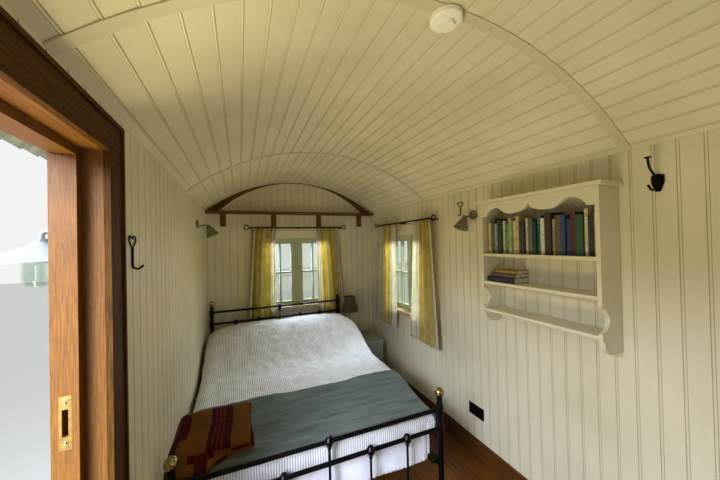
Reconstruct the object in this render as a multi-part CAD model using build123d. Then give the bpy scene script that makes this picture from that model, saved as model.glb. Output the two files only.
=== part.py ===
from build123d import *
import os
from math import asin, cos, sin, sqrt

# A shepherd's hut on iron wheels, in millimetres: X across, +Y towards the end wall behind the bed,
# +Z up from the ground. The door is in the left wall (-X).
os.makedirs("parts", exist_ok=True)

# Room and walls
room_width = 2030
room_length = 4190
eave_height = 2100
vault_rise = 370
wall_thickness = 85
lining_thickness = 12
bow_depth = 50
bow_width = 45
roof_thickness = 18
roof_side_overhang = 140
roof_end_overhang = 110
rib_spacing = 1627
cover_strip_width = 40
cover_strip_thickness = 8

# Floor, chassis and running gear
floor_height = 812
floor_thickness = 22
joist_depth = 100
joist_width = 50
joist_count = 9
chassis_depth = 150
chassis_width = 75
chassis_spread = 900
cross_member_count = 4
axle_inset = 800
axle_section = 65
track_width = 1900
wheel_diameter_rear = 650
wheel_diameter_front = 560
wheel_width = 76
rim_depth = 26
hub_radius = 62
hub_length = 150
hub_cap_radius = 38
hub_cap_length = 32
spoke_count = 8
spoke_width = 34
spoke_thickness = 26
bolster_width = 120
turntable_radius = 260
turntable_thickness = 20
drawbar_length = 1150
drawbar_width = 60
drawbar_depth = 50
drawbar_spread = 620
eye_radius = 22
eye_wall = 18
eye_length = 50

# Door in the left wall
door_y_far = -580
door_width = 760
door_head_drop = 150
post_step = 24
post_depth = 58
frame_proud = 22
lining_board = 24
architrave_width = 95
architrave_thickness = 16
architrave_bead = 12
leaf_thickness = 44
leaf_gap = 4
leaf_standoff = 26
leaf_ledge_height = 110
leaf_ledge_thickness = 20
leaf_ledge_end = 120
leaf_ledge_inset = 20
strap_width = 45
strap_thickness = 6
strap_length = 480
pintle_radius = 9
keep_height = 140
keep_width = 26
keep_thickness = 2.5
keep_centre = 1244

# Windows: two casements each, two panes wide and two high in each casement
glass_drop = 392
glass_height = 718
pane_width = 124
bar_width = 20
stile_width = 50
rail_height = 50
mullion_width = 42
window_frame = 40
window_recess = 38
casement_depth = 40
casement_gap = 0.5
glass_thickness = 4
glass_seat = 8
glass_clearance = 0.3
window_architrave_width = 95
window_architrave_side = 62
window_architrave_thickness = 15
sill_thickness = 42
sill_nosing = 58
sill_horn = 60
side_window_y = 1142

# Fittings on the walls
skirting_height = 160
skirting_thickness = 18
ledge_depth = 130
ledge_thickness = 26
ledge_drop = 8
bracket_width = 60
bracket_height = 145
bracket_thickness = 22
bracket_pitch = 560
rod_radius = 8
rod_length = 1120
rod_drop = 195
rod_standoff = 85
rod_scroll_radius = 18
rod_scroll_bar = 6
curtain_thickness = 44
curtain_clearance = 0.3
curtain_below_glass = 250
# From the window's middle outwards on the rod, then at the hem: left and right curtain
end_curtains = ((260, 520, 262, 600), (217, 490, 217, 600))
# The same for the side window: the curtain nearer the end wall, then the other
side_curtains = ((86, 506, 105, 643), (255, 545, 152, 624))
shelf_y_near = -777
shelf_length = 710
shelf_depth = 160
shelf_board = 18
shelf_drop = 143
shelf_side_length = 807
shelf_drops = (351, 535, 717)
shelf_overhang = 20
shelf_rail_height = 88
book_depth = 128
book_gap = 0.3
book_widths = (24, 31, 19, 36, 27, 22)
book_heights = (214, 196, 232, 205, 224, 188, 210)
pile_heights = (34, 26, 18)
wall_lamp_drop = 220
wall_lamp_reach = 96
wall_lamp_cone = 92
# Hooks: place along the wall and drop below the eaves
left_hook = (-357, 359)
right_hook = (294, 85)
coat_hook = (-920, 173)
hook_standoff = 9
hook_bar = 3.6
hook_bend = 12.5
hook_reach = 40
hook_length = 121
heart_bar = 2.5
heart_width = 72
heart_height = 47
coat_plate = (44, 78, 9)
coat_bar = 4.5
coat_reach = 83
lamp_left_y = 1270
lamp_right_y = 150
alarm_radius = 55
alarm_depth = 34
alarm_gap = 1.2
alarm_y = -791
socket_y = 176
socket_z = 374
socket_size = (146, 86, 12)
outside_lamp_y = -195
outside_lamp_rim = 1660
outside_lamp_reach = 215
shade_radius = 175
outside_jar_radius = 50

# Bed and cabinet
bed_x_left = -960
bed_width = 1432
bed_y_head = 1958
bed_length = 2034
post_radius = 17
head_knob_height = 1100
foot_knob_height = 780
knob_radius = 29
knob_flat = 5
neck_height = 8
head_rails = (975, 848)
foot_rails = (648, 529)
low_rail = 140
foot_plate = (330, 500)
foot_plate_reach = 75
foot_plate_thickness = 6
base_board = 20
base_board_inset = 60
side_bar_depth = 44
side_bar_thickness = 8
side_bar_flange = 12
rail_radius = 12
spindle_radius = 7
spindle_count = 5
mattress_inset = 40
mattress_end_gap = 62
mattress_bottom = 345
mattress_height = 240
quilt_thickness = 32
quilt_sides = (72, 66)
quilt_drop = 80
quilt_clearance = 0.3
quilt_pillow_height = 285
quilt_pillow_length = 620
throw_y_far = 570
throw_thickness = 8
throw_drop = 120
blanket_x_right = -618
blanket_y = (70, 500)
blanket_thickness = 54
cabinet_x = (545, 890)
cabinet_y = (1530, 1930)
cabinet_height = 540
cabinet_board = 18
cabinet_door_gap = 0.5
cabinet_plinth = 60
table_lamp_inset = 53
table_lamp_y = 1850
table_lamp_height = 490
table_shade_height = 187
table_shade_radius = 98
table_shade_top = 53

# Trim
corner_width = 70
corner_thickness = 22
end_arch_depth = 90
arch_board_crown = 8
arch_board_end = 125
arch_board_width = 16

# Values worked out from the driving sizes above
door_head = eave_height - door_head_drop
glass_top = eave_height - glass_drop
glass_bottom = glass_top - glass_height
rod_height = eave_height - rod_drop
curtain_hem = glass_bottom - curtain_below_glass
shelf_top = eave_height - shelf_drop
shelf_bottom = shelf_top - shelf_side_length
shelf_heights = [shelf_top - drop for drop in shelf_drops]
wall_lamp_height = eave_height - wall_lamp_drop
half_room = room_width / 2
half_body = half_room + wall_thickness
end_inner = room_length / 2
end_outer = end_inner + wall_thickness
vault_radius = (half_room**2 + vault_rise**2) / (2 * vault_rise)
vault_z = floor_height + eave_height + vault_rise - vault_radius
lining_radius = vault_radius + lining_thickness
bow_radius = lining_radius + bow_depth
roof_radius = bow_radius + roof_thickness
roof_half = half_body + roof_side_overhang
roof_end = end_outer + roof_end_overhang
joist_top = floor_height - floor_thickness
joist_bottom = joist_top - joist_depth
chassis_bottom = joist_bottom - chassis_depth
casement_width = 2 * pane_width + bar_width + 2 * stile_width
frame_half = mullion_width / 2 + casement_width + window_frame
frame_top = glass_top + rail_height + window_frame
frame_bottom = glass_bottom - rail_height - window_frame
door_y_near = door_y_far - door_width
post_face = half_body + frame_proud

# The ground frame puts the origin under the middle of the whole hut
left_reach = half_body + outside_lamp_reach + shade_radius
shift_x = (left_reach - roof_half) / 2
shift_y = (end_outer + drawbar_length + eye_radius + eye_wall - roof_end) / 2


def block(x, y, z):
    """A box between two corners, each axis given as (low, high)."""
    size = [high - low for low, high in (x, y, z)]
    middle = [(low + high) / 2 for low, high in (x, y, z)]
    return Pos(*middle) * Box(*size)


def above_floor(low, high):
    return (floor_height + low, floor_height + high)


def rod(start, end, radius):
    """A round bar between two points."""
    path = Edge.make_line(start, end)
    return sweep(Plane(origin=start, z_dir=path % 0) * Circle(radius), path)


def bent_bar(points, radius, radii):
    """A round bar along straight runs joined by tangent arcs."""
    path = FilletPolyline(*points, radius=radii)
    return sweep(Plane(origin=path @ 0, z_dir=path % 0) * Circle(radius), path)


def ball(centre, radius):
    return Pos(*centre) * Sphere(radius)


def disc(centre, radius, length, axis):
    """A cylinder centred on a point, along the named axis."""
    turn = {"x": Rot(0, 90, 0), "y": Rot(90, 0, 0), "z": Rot(0, 0, 0)}[axis]
    return Pos(*centre) * turn * Cylinder(radius, length)


def turned(profile, place):
    """A solid turned from an (radius, height) outline about its own upright axis, then placed."""
    face = make_face(Polyline(*[(r, 0, z) for r, z in profile], close=True))
    return place * revolve(face, Axis.Z)


def prism(points, direction, length):
    """A flat outline in space, drawn out along a direction."""
    return extrude(make_face(Polyline(*points, close=True)), amount=length, dir=direction)


def vault_cylinder(radius, y_low, y_high):
    return disc((0, (y_low + y_high) / 2, vault_z), radius, y_high - y_low, "y")


def arch_band(inner, outer, half_width, y_low, y_high):
    """A curved plate over the hut with ends square to its curve."""
    angle = asin(half_width / outer)

    def at(radius, turn):
        return (radius * sin(turn), y_low, vault_z + radius * cos(turn))

    outline = [
        ThreePointArc(at(outer, -angle), at(outer, 0), at(outer, angle)),
        Line(at(outer, angle), at(inner, angle)),
        ThreePointArc(at(inner, angle), at(inner, 0), at(inner, -angle)),
        Line(at(inner, -angle), at(outer, -angle)),
    ]
    return extrude(make_face(outline), amount=y_high - y_low, dir=(0, 1, 0))


def save(name, *solids):
    """Writes the solids of one node, moved to the ground frame."""
    where = Pos(shift_x, shift_y, 0)
    shapes = [where * solid for solid in solids]
    export_step(shapes[0] if len(shapes) == 1 else Compound(children=shapes), f"parts/{name}.step")


def spread(count, low, high):
    return [low + (high - low) * i / (count - 1) for i in range(count)]


# Chassis, floor and running gear
def make_chassis():
    """Two long beams under the floor joists, with cross members between them."""
    half = chassis_spread / 2
    side = chassis_width / 2
    beams = [block((x - side, x + side), (-end_outer, end_outer), (chassis_bottom, joist_bottom)) for x in (-half, half)]
    save("chassis_beams", *beams)
    inner = half - side
    low = chassis_bottom + chassis_depth / 3
    members = [
        block((-inner, inner), (y - side, y + side), (low, joist_bottom))
        for y in spread(cross_member_count, -end_outer + axle_inset / 2, end_outer - axle_inset / 2)
    ]
    save("cross_members", *members)


def make_floor():
    """Joists between the side walls, the boards on them, and the hardwood sill under the door."""
    half = joist_width / 2
    joists = [
        block((-half_room, half_room), (y - half, y + half), (joist_bottom, joist_top))
        for y in spread(joist_count, -end_inner + half, end_inner - half)
    ]
    save("floor_joists", *joists)
    save("floor_boards", block((-half_room, half_room), (-end_inner, end_inner), (joist_top, floor_height)))
    y = (door_y_near - post_step - lining_board, door_y_far + post_step + lining_board)
    sill = block((-post_face, -half_room), y, (joist_top, floor_height))
    apron = block((-half_body, -half_room), y, (joist_bottom, joist_top))
    save("door_sill", sill + apron)


def make_wheel(name, x_side, y, diameter):
    """A cast-iron wheel: tyre, tapered spokes, barrel hub and cap, on an axle along X."""
    radius = diameter / 2
    x = x_side * track_width / 2
    place = Pos(x, y, radius) * Rot(0, 90, 0)
    half = wheel_width / 2
    rim_inner = radius - rim_depth
    tyre = [
        (rim_inner, -half + 10),
        (rim_inner + 8, -half),
        (radius - 3, -half),
        (radius, -half + 3),
        (radius, half - 3),
        (radius - 3, half),
        (rim_inner + 8, half),
        (rim_inner, half - 10),
    ]
    wheel = turned(tyre, place)
    hub_half = hub_length / 2
    bore = axle_section / 2 - 8
    hub = [
        (bore, -hub_half),
        (hub_radius - 12, -hub_half),
        (hub_radius - 12, -hub_half + 20),
        (hub_radius, -25),
        (hub_radius, 25),
        (hub_radius - 12, hub_half - 20),
        (hub_radius - 12, hub_half),
        (bore, hub_half),
    ]
    wheel += turned(hub, place)
    for i in range(spoke_count):
        inner = hub_radius - 6
        outer = rim_inner + 4
        spoke = prism(
            [
                (inner, -spoke_width / 2, -spoke_thickness / 2),
                (outer, -spoke_width / 3, -spoke_thickness / 2),
                (outer, spoke_width / 3, -spoke_thickness / 2),
                (inner, spoke_width / 2, -spoke_thickness / 2),
            ],
            (0, 0, 1),
            spoke_thickness,
        )
        wheel += place * Rot(0, 0, 360 / spoke_count * i) * spoke
    save(name, wheel)


def make_axle(name, y, diameter, top):
    """A square axle beam with turned ends, and the bolster that carries the chassis."""
    z = diameter / 2
    half = track_width / 2
    inner = half - hub_length / 2 - 6
    beam = block(
        (-inner, inner), (y - axle_section / 2, y + axle_section / 2), (z - axle_section / 2, z + axle_section / 2)
    )
    journal = axle_section / 2 - 8
    end = half + hub_length / 2
    for side in (-1, 1):
        beam += disc((side * (inner + end - 1) / 2, y, z), journal, end - inner + 1, "x")
        beam += disc(
            (side * (end + hub_cap_length / 2), y, z), hub_cap_radius, hub_cap_length, "x"
        )
    beam += block(
        (-chassis_spread / 2 - chassis_width / 2, chassis_spread / 2 + chassis_width / 2),
        (y - bolster_width / 2, y + bolster_width / 2),
        (z + axle_section / 2 - 5, top),
    )
    save(name, beam)


def make_running_gear():
    rear_y = end_outer - axle_inset
    front_y = -end_outer + axle_inset
    for name, side, y, size in (
        ("wheel_rear_left", -1, rear_y, wheel_diameter_rear),
        ("wheel_rear_right", 1, rear_y, wheel_diameter_rear),
        ("wheel_front_left", -1, front_y, wheel_diameter_front),
        ("wheel_front_right", 1, front_y, wheel_diameter_front),
    ):
        make_wheel(name, side, y, size)
    make_axle("rear_axle", rear_y, wheel_diameter_rear, chassis_bottom)
    plate_bottom = chassis_bottom - 2 * turntable_thickness
    make_axle("front_axle", front_y, wheel_diameter_front, plate_bottom)
    plates = disc((0, front_y, chassis_bottom - turntable_thickness), turntable_radius, 2 * turntable_thickness, "z")
    plates += block(
        (-chassis_spread / 2 - chassis_width / 2, chassis_spread / 2 + chassis_width / 2),
        (front_y - bolster_width / 2, front_y + bolster_width / 2),
        (chassis_bottom - turntable_thickness, chassis_bottom),
    )
    save("turntable", plates)
    make_drawbar(front_y, wheel_diameter_front / 2)


def make_drawbar(front_y, z):
    """Two shafts from the front axle that meet at the towing eye."""
    start_y = front_y - axle_section / 2
    eye_y = -end_outer - drawbar_length
    low, high = z - drawbar_depth / 2, z + drawbar_depth / 2
    bar = Part()
    for side in (-1, 1):
        near = side * drawbar_width * 0.6
        far = side * drawbar_spread / 2
        half = drawbar_width / 2
        bar += prism(
            [
                (far - half, start_y, low),
                (far + half, start_y, low),
                (near + half, eye_y + eye_radius, low),
                (near - half, eye_y + eye_radius, low),
            ],
            (0, 0, 1),
            high - low,
        )
    cross_y = (start_y + eye_y) / 2
    cross_half = drawbar_spread / 4
    bar += block((-cross_half, cross_half), (cross_y - 25, cross_y + 25), (z - 25, z + 25))
    bar += disc((0, eye_y, z), eye_radius + eye_wall, eye_length, "z")
    bar -= disc((0, eye_y, z), eye_radius, drawbar_depth * 2, "z")
    save("drawbar", bar)


# Walls
def window_hole(axis, centre):
    """The opening in a wall for a window frame, long enough to pass through any wall."""
    z = above_floor(frame_bottom, frame_top)
    if axis == "y":
        return block((-frame_half, frame_half), (-end_outer - 50, end_outer + 50), z)
    return block((half_room - 50, half_body + 50), (centre - frame_half, centre + frame_half), z)


def make_walls():
    inside_vault = vault_cylinder(lining_radius, -end_outer, end_outer)
    high = floor_height + eave_height + vault_rise

    def side_wall(x, y, z_low=joist_bottom):
        return block(x, y, (z_low, high)) & inside_vault

    left = (-half_body, -half_room)
    post_far = door_y_far + post_step + lining_board
    post_near = door_y_near - post_step - lining_board
    head = floor_height + door_head + post_step + lining_board
    save("left_wall_near", side_wall(left, (-end_inner, post_near)))
    save("left_wall_far", side_wall(left, (post_far, end_inner)))
    save("left_wall_over_door", side_wall(left, (post_near, post_far), head))
    right = side_wall((half_room, half_body), (-end_inner, end_inner))
    save("right_wall", right - window_hole("x", side_window_y))
    under_roof = vault_cylinder(bow_radius, -end_outer, end_outer)
    for name, y in (("far_end_wall", (end_inner, end_outer)), ("near_end_wall", (-end_outer, -end_inner))):
        wall = block((-half_body, half_body), y, (joist_bottom, high + bow_depth + lining_thickness)) & under_roof
        save(name, wall - window_hole("y", 0))


def make_roof():
    lining = arch_band(vault_radius, lining_radius, half_room + 60, -end_inner, end_inner)
    room = block((-half_room, half_room), (-end_inner, end_inner), (floor_height, floor_height + 3 * eave_height))
    save("vault_lining", lining & room)
    bows = []
    edge = end_inner - bow_width / 2
    rib_half = rib_spacing / 2
    for y in (-edge, -rib_half, rib_half, edge):
        bows.append(arch_band(lining_radius, bow_radius, half_body, y - bow_width / 2, y + bow_width / 2))
    save("roof_bows", *bows)
    save("roof_sheet", arch_band(bow_radius, roof_radius, roof_half, -roof_end, roof_end))
    strips = []
    for side in (-1, 1):
        y = side * rib_half
        band = arch_band(
            vault_radius - cover_strip_thickness,
            vault_radius,
            half_room + 40,
            y - cover_strip_width / 2,
            y + cover_strip_width / 2,
        )
        strips.append(band & room)
    save("ceiling_cover_strips", *strips)


def make_outer_trim():
    """Corner boards, eave fascias and the arched boards over the end walls."""
    posts = []
    for sx in (-1, 1):
        for sy in (-1, 1):
            x = sorted((sx * (half_body - corner_width), sx * (half_body + corner_thickness)))
            y = sorted((sy * end_outer, sy * (end_outer + corner_thickness)))
            top = vault_z + sqrt(bow_radius**2 - half_body**2) - 45
            end_face = block(x, y, (joist_bottom, top))
            x = sorted((sx * half_body, sx * (half_body + corner_thickness)))
            y = sorted((sy * (end_outer - corner_width), sy * (end_outer + corner_thickness)))
            posts.append(end_face + block(x, y, (joist_bottom, top)))
    save("corner_boards", *posts)
    arches = []
    for y in ((end_outer, end_outer + corner_thickness), (-end_outer - corner_thickness, -end_outer)):
        arches.append(arch_band(bow_radius - end_arch_depth, bow_radius, half_body - corner_width, *y))
    save("end_arch_boards", *arches)


# Door
def door_ring(x, spread_out, width):
    """Three sides of a frame round the door, set back from the opening and this wide."""
    outer = block(
        x,
        (door_y_near - spread_out - width, door_y_far + spread_out + width),
        above_floor(0, door_head + spread_out + width),
    )
    inner = block(
        (x[0] - 50, x[1] + 50),
        (door_y_near - spread_out, door_y_far + spread_out),
        above_floor(-50, door_head + spread_out),
    )
    return outer - inner


def make_door():
    outer_zone = (-post_face, -post_face + post_depth)
    inner_zone = (-post_face + post_depth, -half_room)
    frame = door_ring(outer_zone, 0, post_step + lining_board) + door_ring(inner_zone, post_step, lining_board)
    keep_x = -post_face + post_depth / 2
    keep = block(
        (keep_x - keep_width / 2, keep_x + keep_width / 2),
        (door_y_far, door_y_far + keep_thickness),
        above_floor(keep_centre - keep_height / 2, keep_centre + keep_height / 2),
    )
    pocket = block(
        (keep_x - keep_width / 4, keep_x + keep_width / 4),
        (door_y_far - 5, door_y_far + lining_board),
        above_floor(keep_centre - keep_height / 4, keep_centre + keep_height / 4),
    )
    save("door_frame", frame - keep - pocket)
    save("lock_keep", keep - pocket)
    board = door_ring((-half_room, -half_room + architrave_thickness), post_step, architrave_width)
    bead = door_ring(
        (-half_room, -half_room + architrave_thickness + architrave_bead / 2),
        post_step + architrave_width - architrave_bead,
        architrave_bead,
    )
    save("door_architrave", board + bead)
    make_leaf()


def make_leaf():
    """The boarded leaf, swung right round and hooked back against the outside of the wall."""
    inner = -post_face - leaf_standoff
    y = (door_y_near - leaf_gap - door_width + 2 * leaf_gap, door_y_near - leaf_gap)
    z = above_floor(leaf_gap, door_head - leaf_gap)
    leaf = block((inner - leaf_thickness + leaf_ledge_thickness, inner), y, z)
    ledge_x = (inner - leaf_thickness, inner - leaf_thickness + leaf_ledge_thickness)
    ledge_z = [z[0] + leaf_ledge_end, (z[0] + z[1]) / 2, z[1] - leaf_ledge_end]
    for middle in ledge_z:
        leaf += block(
            ledge_x,
            (y[0] + leaf_ledge_inset, y[1] - leaf_ledge_inset),
            (middle - leaf_ledge_height / 2, middle + leaf_ledge_height / 2),
        )
    save("door_leaf", leaf)
    straps = []
    pin_y = door_y_near + pintle_radius
    for middle in (ledge_z[0], ledge_z[2]):
        height = (middle - strap_width / 2, middle + strap_width / 2)
        strap = block((inner, inner + strap_thickness), (y[1] - strap_length, pin_y), height)
        strap += disc((inner + pintle_radius, pin_y, middle), pintle_radius, strap_width, "z")
        strap += block((inner + pintle_radius, -post_face), (pin_y - pintle_radius, pin_y), height)
        strap += block(
            (-post_face - strap_thickness, -post_face),
            (pin_y - pintle_radius - 30, pin_y),
            (middle - strap_width, middle + strap_width),
        )
        straps.append(strap)
    save("door_hinges", *straps)


# Windows, drawn with the room side at y = 0 and the outside towards +Y, then turned into their walls
def window_place(side):
    return {
        "far": Pos(0, end_inner, 0),
        "near": Pos(0, -end_inner, 0) * Rot(0, 0, 180),
        "right": Pos(half_room, side_window_y, 0) * Rot(0, 0, -90),
    }[side]


def make_window(side):
    place = window_place(side)
    depth = (window_recess, wall_thickness + 6)
    z = above_floor(frame_bottom, frame_top)
    frame = block((-frame_half, frame_half), depth, z)
    for sx in (-1, 1):
        x = sorted((sx * mullion_width / 2, sx * (frame_half - window_frame)))
        frame -= block(x, (-50, 200), (z[0] + window_frame, z[1] - window_frame))
    lip = block(
        (-frame_half - 20, frame_half + 20), (wall_thickness, wall_thickness + 28), (z[0] - 25, z[0] + 18)
    )
    frame += lip
    casements, panes = [], []
    for sx in (-1, 1):
        x_low, x_high = sorted((sx * (mullion_width / 2 + casement_gap), sx * (frame_half - window_frame - casement_gap)))
        z_low, z_high = z[0] + window_frame + casement_gap, z[1] - window_frame - casement_gap
        y = (window_recess + 8, window_recess + 8 + casement_depth)
        sash = block((x_low, x_high), y, (z_low, z_high))
        sight_x = sorted((sx * (mullion_width / 2 + stile_width), sx * (frame_half - window_frame - stile_width)))
        sight_z = above_floor(glass_bottom, glass_top)
        middle_x = sum(sight_x) / 2
        middle_z = sum(sight_z) / 2
        sash -= block(sight_x, (0, 200), sight_z)
        sash += block((middle_x - bar_width / 2, middle_x + bar_width / 2), y, sight_z)
        sash += block(sight_x, y, (middle_z - bar_width / 2, middle_z + bar_width / 2))
        glass_y = sum(y) / 2 + 6
        seat_x = (sight_x[0] - glass_seat, sight_x[1] + glass_seat)
        seat_z = (sight_z[0] - glass_seat, sight_z[1] + glass_seat)
        half = glass_thickness / 2
        sash -= block(seat_x, (glass_y - half, glass_y + half), seat_z)
        trim = glass_clearance
        panes.append(
            block(
                (seat_x[0] + trim, seat_x[1] - trim),
                (glass_y - half + trim, glass_y + half - trim),
                (seat_z[0] + trim, seat_z[1] - trim),
            )
        )
        casements.append(sash)
    pieces = (frame, window_boards(), window_sill(), *casements, *panes)
    return [place * piece for piece in pieces]


def window_boards():
    """The painted boards on the wall round the window, the top one deeper."""
    inner_x = frame_half - 22
    low = floor_height + frame_bottom + window_frame
    top = floor_height + frame_top - 22
    y = (-window_architrave_thickness, 0)
    ring = block(
        (-inner_x - window_architrave_side, inner_x + window_architrave_side), y, (low, top + window_architrave_width)
    )
    ring -= block((-inner_x, inner_x), (-50, 50), (low - 10, top))
    shelf = block(
        (-inner_x - window_architrave_side - 8, inner_x + window_architrave_side + 8),
        (-window_architrave_thickness - 8, 0),
        (top + window_architrave_width, top + window_architrave_width + 12),
    )
    reveal = Part()
    for sx in (-1, 1):
        x = sorted((sx * (frame_half - 22), sx * (frame_half - 1)))
        reveal += block(x, (-1, window_recess), (low, top + 10))
    reveal += block((-frame_half + 1, frame_half - 1), (-1, window_recess), (top, top + 20))
    return ring + shelf + reveal


def window_sill():
    """The natural wood sill board inside the window, with horns past the opening."""
    top = floor_height + frame_bottom + window_frame
    half = frame_half - 22 + window_architrave_side
    board = block((-half - sill_horn / 2, half + sill_horn / 2), (-sill_nosing, 0), (top - sill_thickness, top))
    tongue = block((-frame_half + 1, frame_half - 1), (-1, window_recess), (floor_height + frame_bottom + 1, top))
    return board + tongue


def make_windows():
    windows = [make_window(side) for side in ("far", "right", "near")]
    save("window_frames", *[w[0] for w in windows])
    save("window_architraves", *[w[1] for w in windows])
    save("window_sills", *[w[2] for w in windows])
    save("window_casements", *[sash for w in windows for sash in w[3:5]])
    save("window_glass", *[pane for w in windows for pane in w[5:7]])


def make_curtains():
    """Iron rods with a scroll at each end, and the curtains gathered on them."""
    z = floor_height + rod_height
    rods = []
    half = rod_length / 2
    y = -rod_standoff
    for place, name, curtains in (
        (window_place("far"), "end_window_curtains", end_curtains),
        (window_place("right"), "side_window_curtains", side_curtains),
    ):
        bar = disc((0, y, z), rod_radius, rod_length, "x")
        for sx in (-1, 1):
            turns = ((0, 0), (20, -22), (58, -22), (58, 26), (12, 26), (12, 6))
            scroll = [(sx * (half + out), y, z + up) for out, up in turns]
            bar += bent_bar(scroll, rod_scroll_bar, rod_scroll_radius)
        for x in (-half + 6, 0, half - 6):
            bar += block((x - 6, x + 6), (y, 0), (z - 14, z - 2))
        rods.append(place * bar)
        save(name, *[place * curtain_solid(sx, z, spans) for sx, spans in zip((-1, 1), curtains)])
    save("curtain_rods", *rods)


def curtain_solid(sx, z, spans):
    """A plain solid that holds one gathered curtain, wider at its hem."""
    top = z - rod_radius - curtain_clearance
    low = floor_height + curtain_hem
    y = -rod_standoff - curtain_thickness / 2
    inner, outer, hem_inner, hem_outer = spans
    outline = [(sx * inner, y, top), (sx * outer, y, top), (sx * hem_outer, y, low), (sx * hem_inner, y, low)]
    return prism(outline, (0, 1, 0), curtain_thickness)


# Fittings on the walls
def make_skirting():
    t = skirting_thickness
    z = above_floor(0, skirting_height)
    boards = [
        block((half_room - t, half_room), (-end_inner + t, end_inner - t), z),
        block((-half_room, half_room), (end_inner - t, end_inner), z),
        block((-half_room, half_room), (-end_inner, -end_inner + t), z),
    ]
    reach = post_step + architrave_width
    boards.append(block((-half_room, -half_room + t), (door_y_far + reach, end_inner - t), z))
    boards.append(block((-half_room, -half_room + t), (-end_inner + t, door_y_near - reach), z))
    save("skirting_boards", *boards)


def arch_board(low):
    """The natural wood board that closes the vault against the end wall, deeper towards its two ends."""
    crown = vault_z + vault_radius
    reach = sqrt(vault_radius**2 - (low - vault_z) ** 2)
    side = min(reach, half_room)
    corner = vault_z + sqrt(vault_radius**2 - side**2)
    y = end_inner - arch_board_width
    outline = [
        ThreePointArc((-side, y, corner), (0, y, crown), (side, y, corner)),
        Line((side, y, corner), (side, y, low)),
        Line((side, y, low), (side - arch_board_end, y, low)),
        ThreePointArc(
            (side - arch_board_end, y, low), (0, y, crown - arch_board_crown), (-side + arch_board_end, y, low)
        ),
        Line((-side + arch_board_end, y, low), (-side, y, low)),
        Line((-side, y, low), (-side, y, corner)),
    ]
    return extrude(make_face(outline), amount=arch_board_width, dir=(0, 1, 0))


def make_ledge():
    top = floor_height + eave_height - ledge_drop
    save(
        "ledge_shelf",
        block((-half_room, half_room), (end_inner - ledge_depth, end_inner), (top - ledge_thickness, top)),
    )
    save("arch_board", arch_board(top))
    brackets = []
    for i in range(4):
        x = (i - 1.5) * bracket_pitch
        low = top - ledge_thickness - bracket_height
        brackets.append(
            block(
                (x - bracket_width / 2, x + bracket_width / 2),
                (end_inner - bracket_thickness, end_inner),
                (low, top - ledge_thickness),
            )
        )
    save("ledge_battens", *brackets)


def shelf_side_outline():
    """The side board of the bookshelf, seen from the side: its front edge has the scroll cut."""
    back, front = half_room, half_room - shelf_depth
    top = floor_height + shelf_top - shelf_board
    middle = floor_height + shelf_heights[1] - shelf_board
    low = floor_height + shelf_heights[2]
    bottom = floor_height + shelf_bottom
    y = 0
    return [
        Line((back, y, bottom), (back, y, top)),
        Line((back, y, top), (front, y, top)),
        Line((front, y, top), (front, y, middle - 26)),
        ThreePointArc((front, y, middle - 26), (front + 34, y, middle - 52), (front + 58, y, middle - 92)),
        ThreePointArc((front + 58, y, middle - 92), (front + 40, y, low + 34), (front, y, low + 12)),
        Line((front, y, low + 12), (front, y, low - 26)),
        Line((front, y, low - 26), (front + 14, y, low - 26)),
        ThreePointArc((front + 14, y, low - 26), (front + 24, y, low - 66), (front + 78, y, bottom)),
        Line((front + 78, y, bottom), (back, y, bottom)),
    ]


def make_bookshelf():
    side_face = make_face(shelf_side_outline())
    shelf = Part()
    near, far = shelf_y_near, shelf_y_near + shelf_length
    for y in (near, far - shelf_board):
        shelf += Pos(0, y, 0) * extrude(side_face, amount=shelf_board, dir=(0, 1, 0))
    front = half_room - shelf_depth
    for height in shelf_heights:
        z = floor_height + height
        shelf += block((front + 4, half_room), (near + 1, far - 1), (z - shelf_board, z))
    top = floor_height + shelf_top
    shelf += block(
        (front - shelf_overhang, half_room), (near - shelf_overhang, far + shelf_overhang), (top - shelf_board, top)
    )
    shelf += shaped_rail(front, near, far, top - shelf_board)
    save("bookshelf", shelf)
    make_books(near + shelf_board, far - shelf_board)


def make_books(near, far):
    """A full row of upright books on the top shelf and a small pile lying on the one below."""
    back = half_room - book_gap
    low = floor_height + shelf_heights[0] + book_gap
    row = Part()
    y = near + book_gap
    i = 0
    while y + book_widths[i % len(book_widths)] < far:
        width = book_widths[i % len(book_widths)]
        height = book_heights[i % len(book_heights)]
        depth = book_depth - 6 * (i % 3)
        row += block((back - depth, back), (y, y + width), (low, low + height))
        y += width
        i += 1
    z = floor_height + shelf_heights[1] + book_gap
    pile = Part()
    for i, thick in enumerate(pile_heights):
        pile += block((back - book_depth - 12 + 8 * i, back), (far - 215, far - 12 - 24 * i), (z, z + thick))
        z += thick
    save("shelf_books", row, pile)


def shaped_rail(front, near, far, top):
    """The top rail: two rises either side of a cusp in its lower edge."""
    middle = (near + far) / 2
    half = (far - near) / 2
    dip = top - shelf_rail_height
    rise = top - shelf_rail_height * 0.42
    edges = [Line((front, near, top), (front, far, top))]
    for side in (1, -1):
        ends = [
            (front, middle + side * half, dip),
            (front, middle + side * half * 0.62, rise),
            (front, middle + side * half * 0.28, dip + 4),
            (front, middle, rise),
        ]
        a, b, c, d = ends
        e = (front, middle + side * half * 0.86, dip)
        run = [
            Line((front, middle + side * half, top), a),
            Line(a, e),
            Spline(e, b, c, tangents=[(0, -side * 0.6, 1), (0, -side, 0.1)]),
            Spline(c, d, tangents=[(0, -side, 0.1), (0, -side * 0.4, 1)]),
        ]
        edges += run
    return extrude(make_face(edges), amount=shelf_board, dir=(1, 0, 0))


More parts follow.
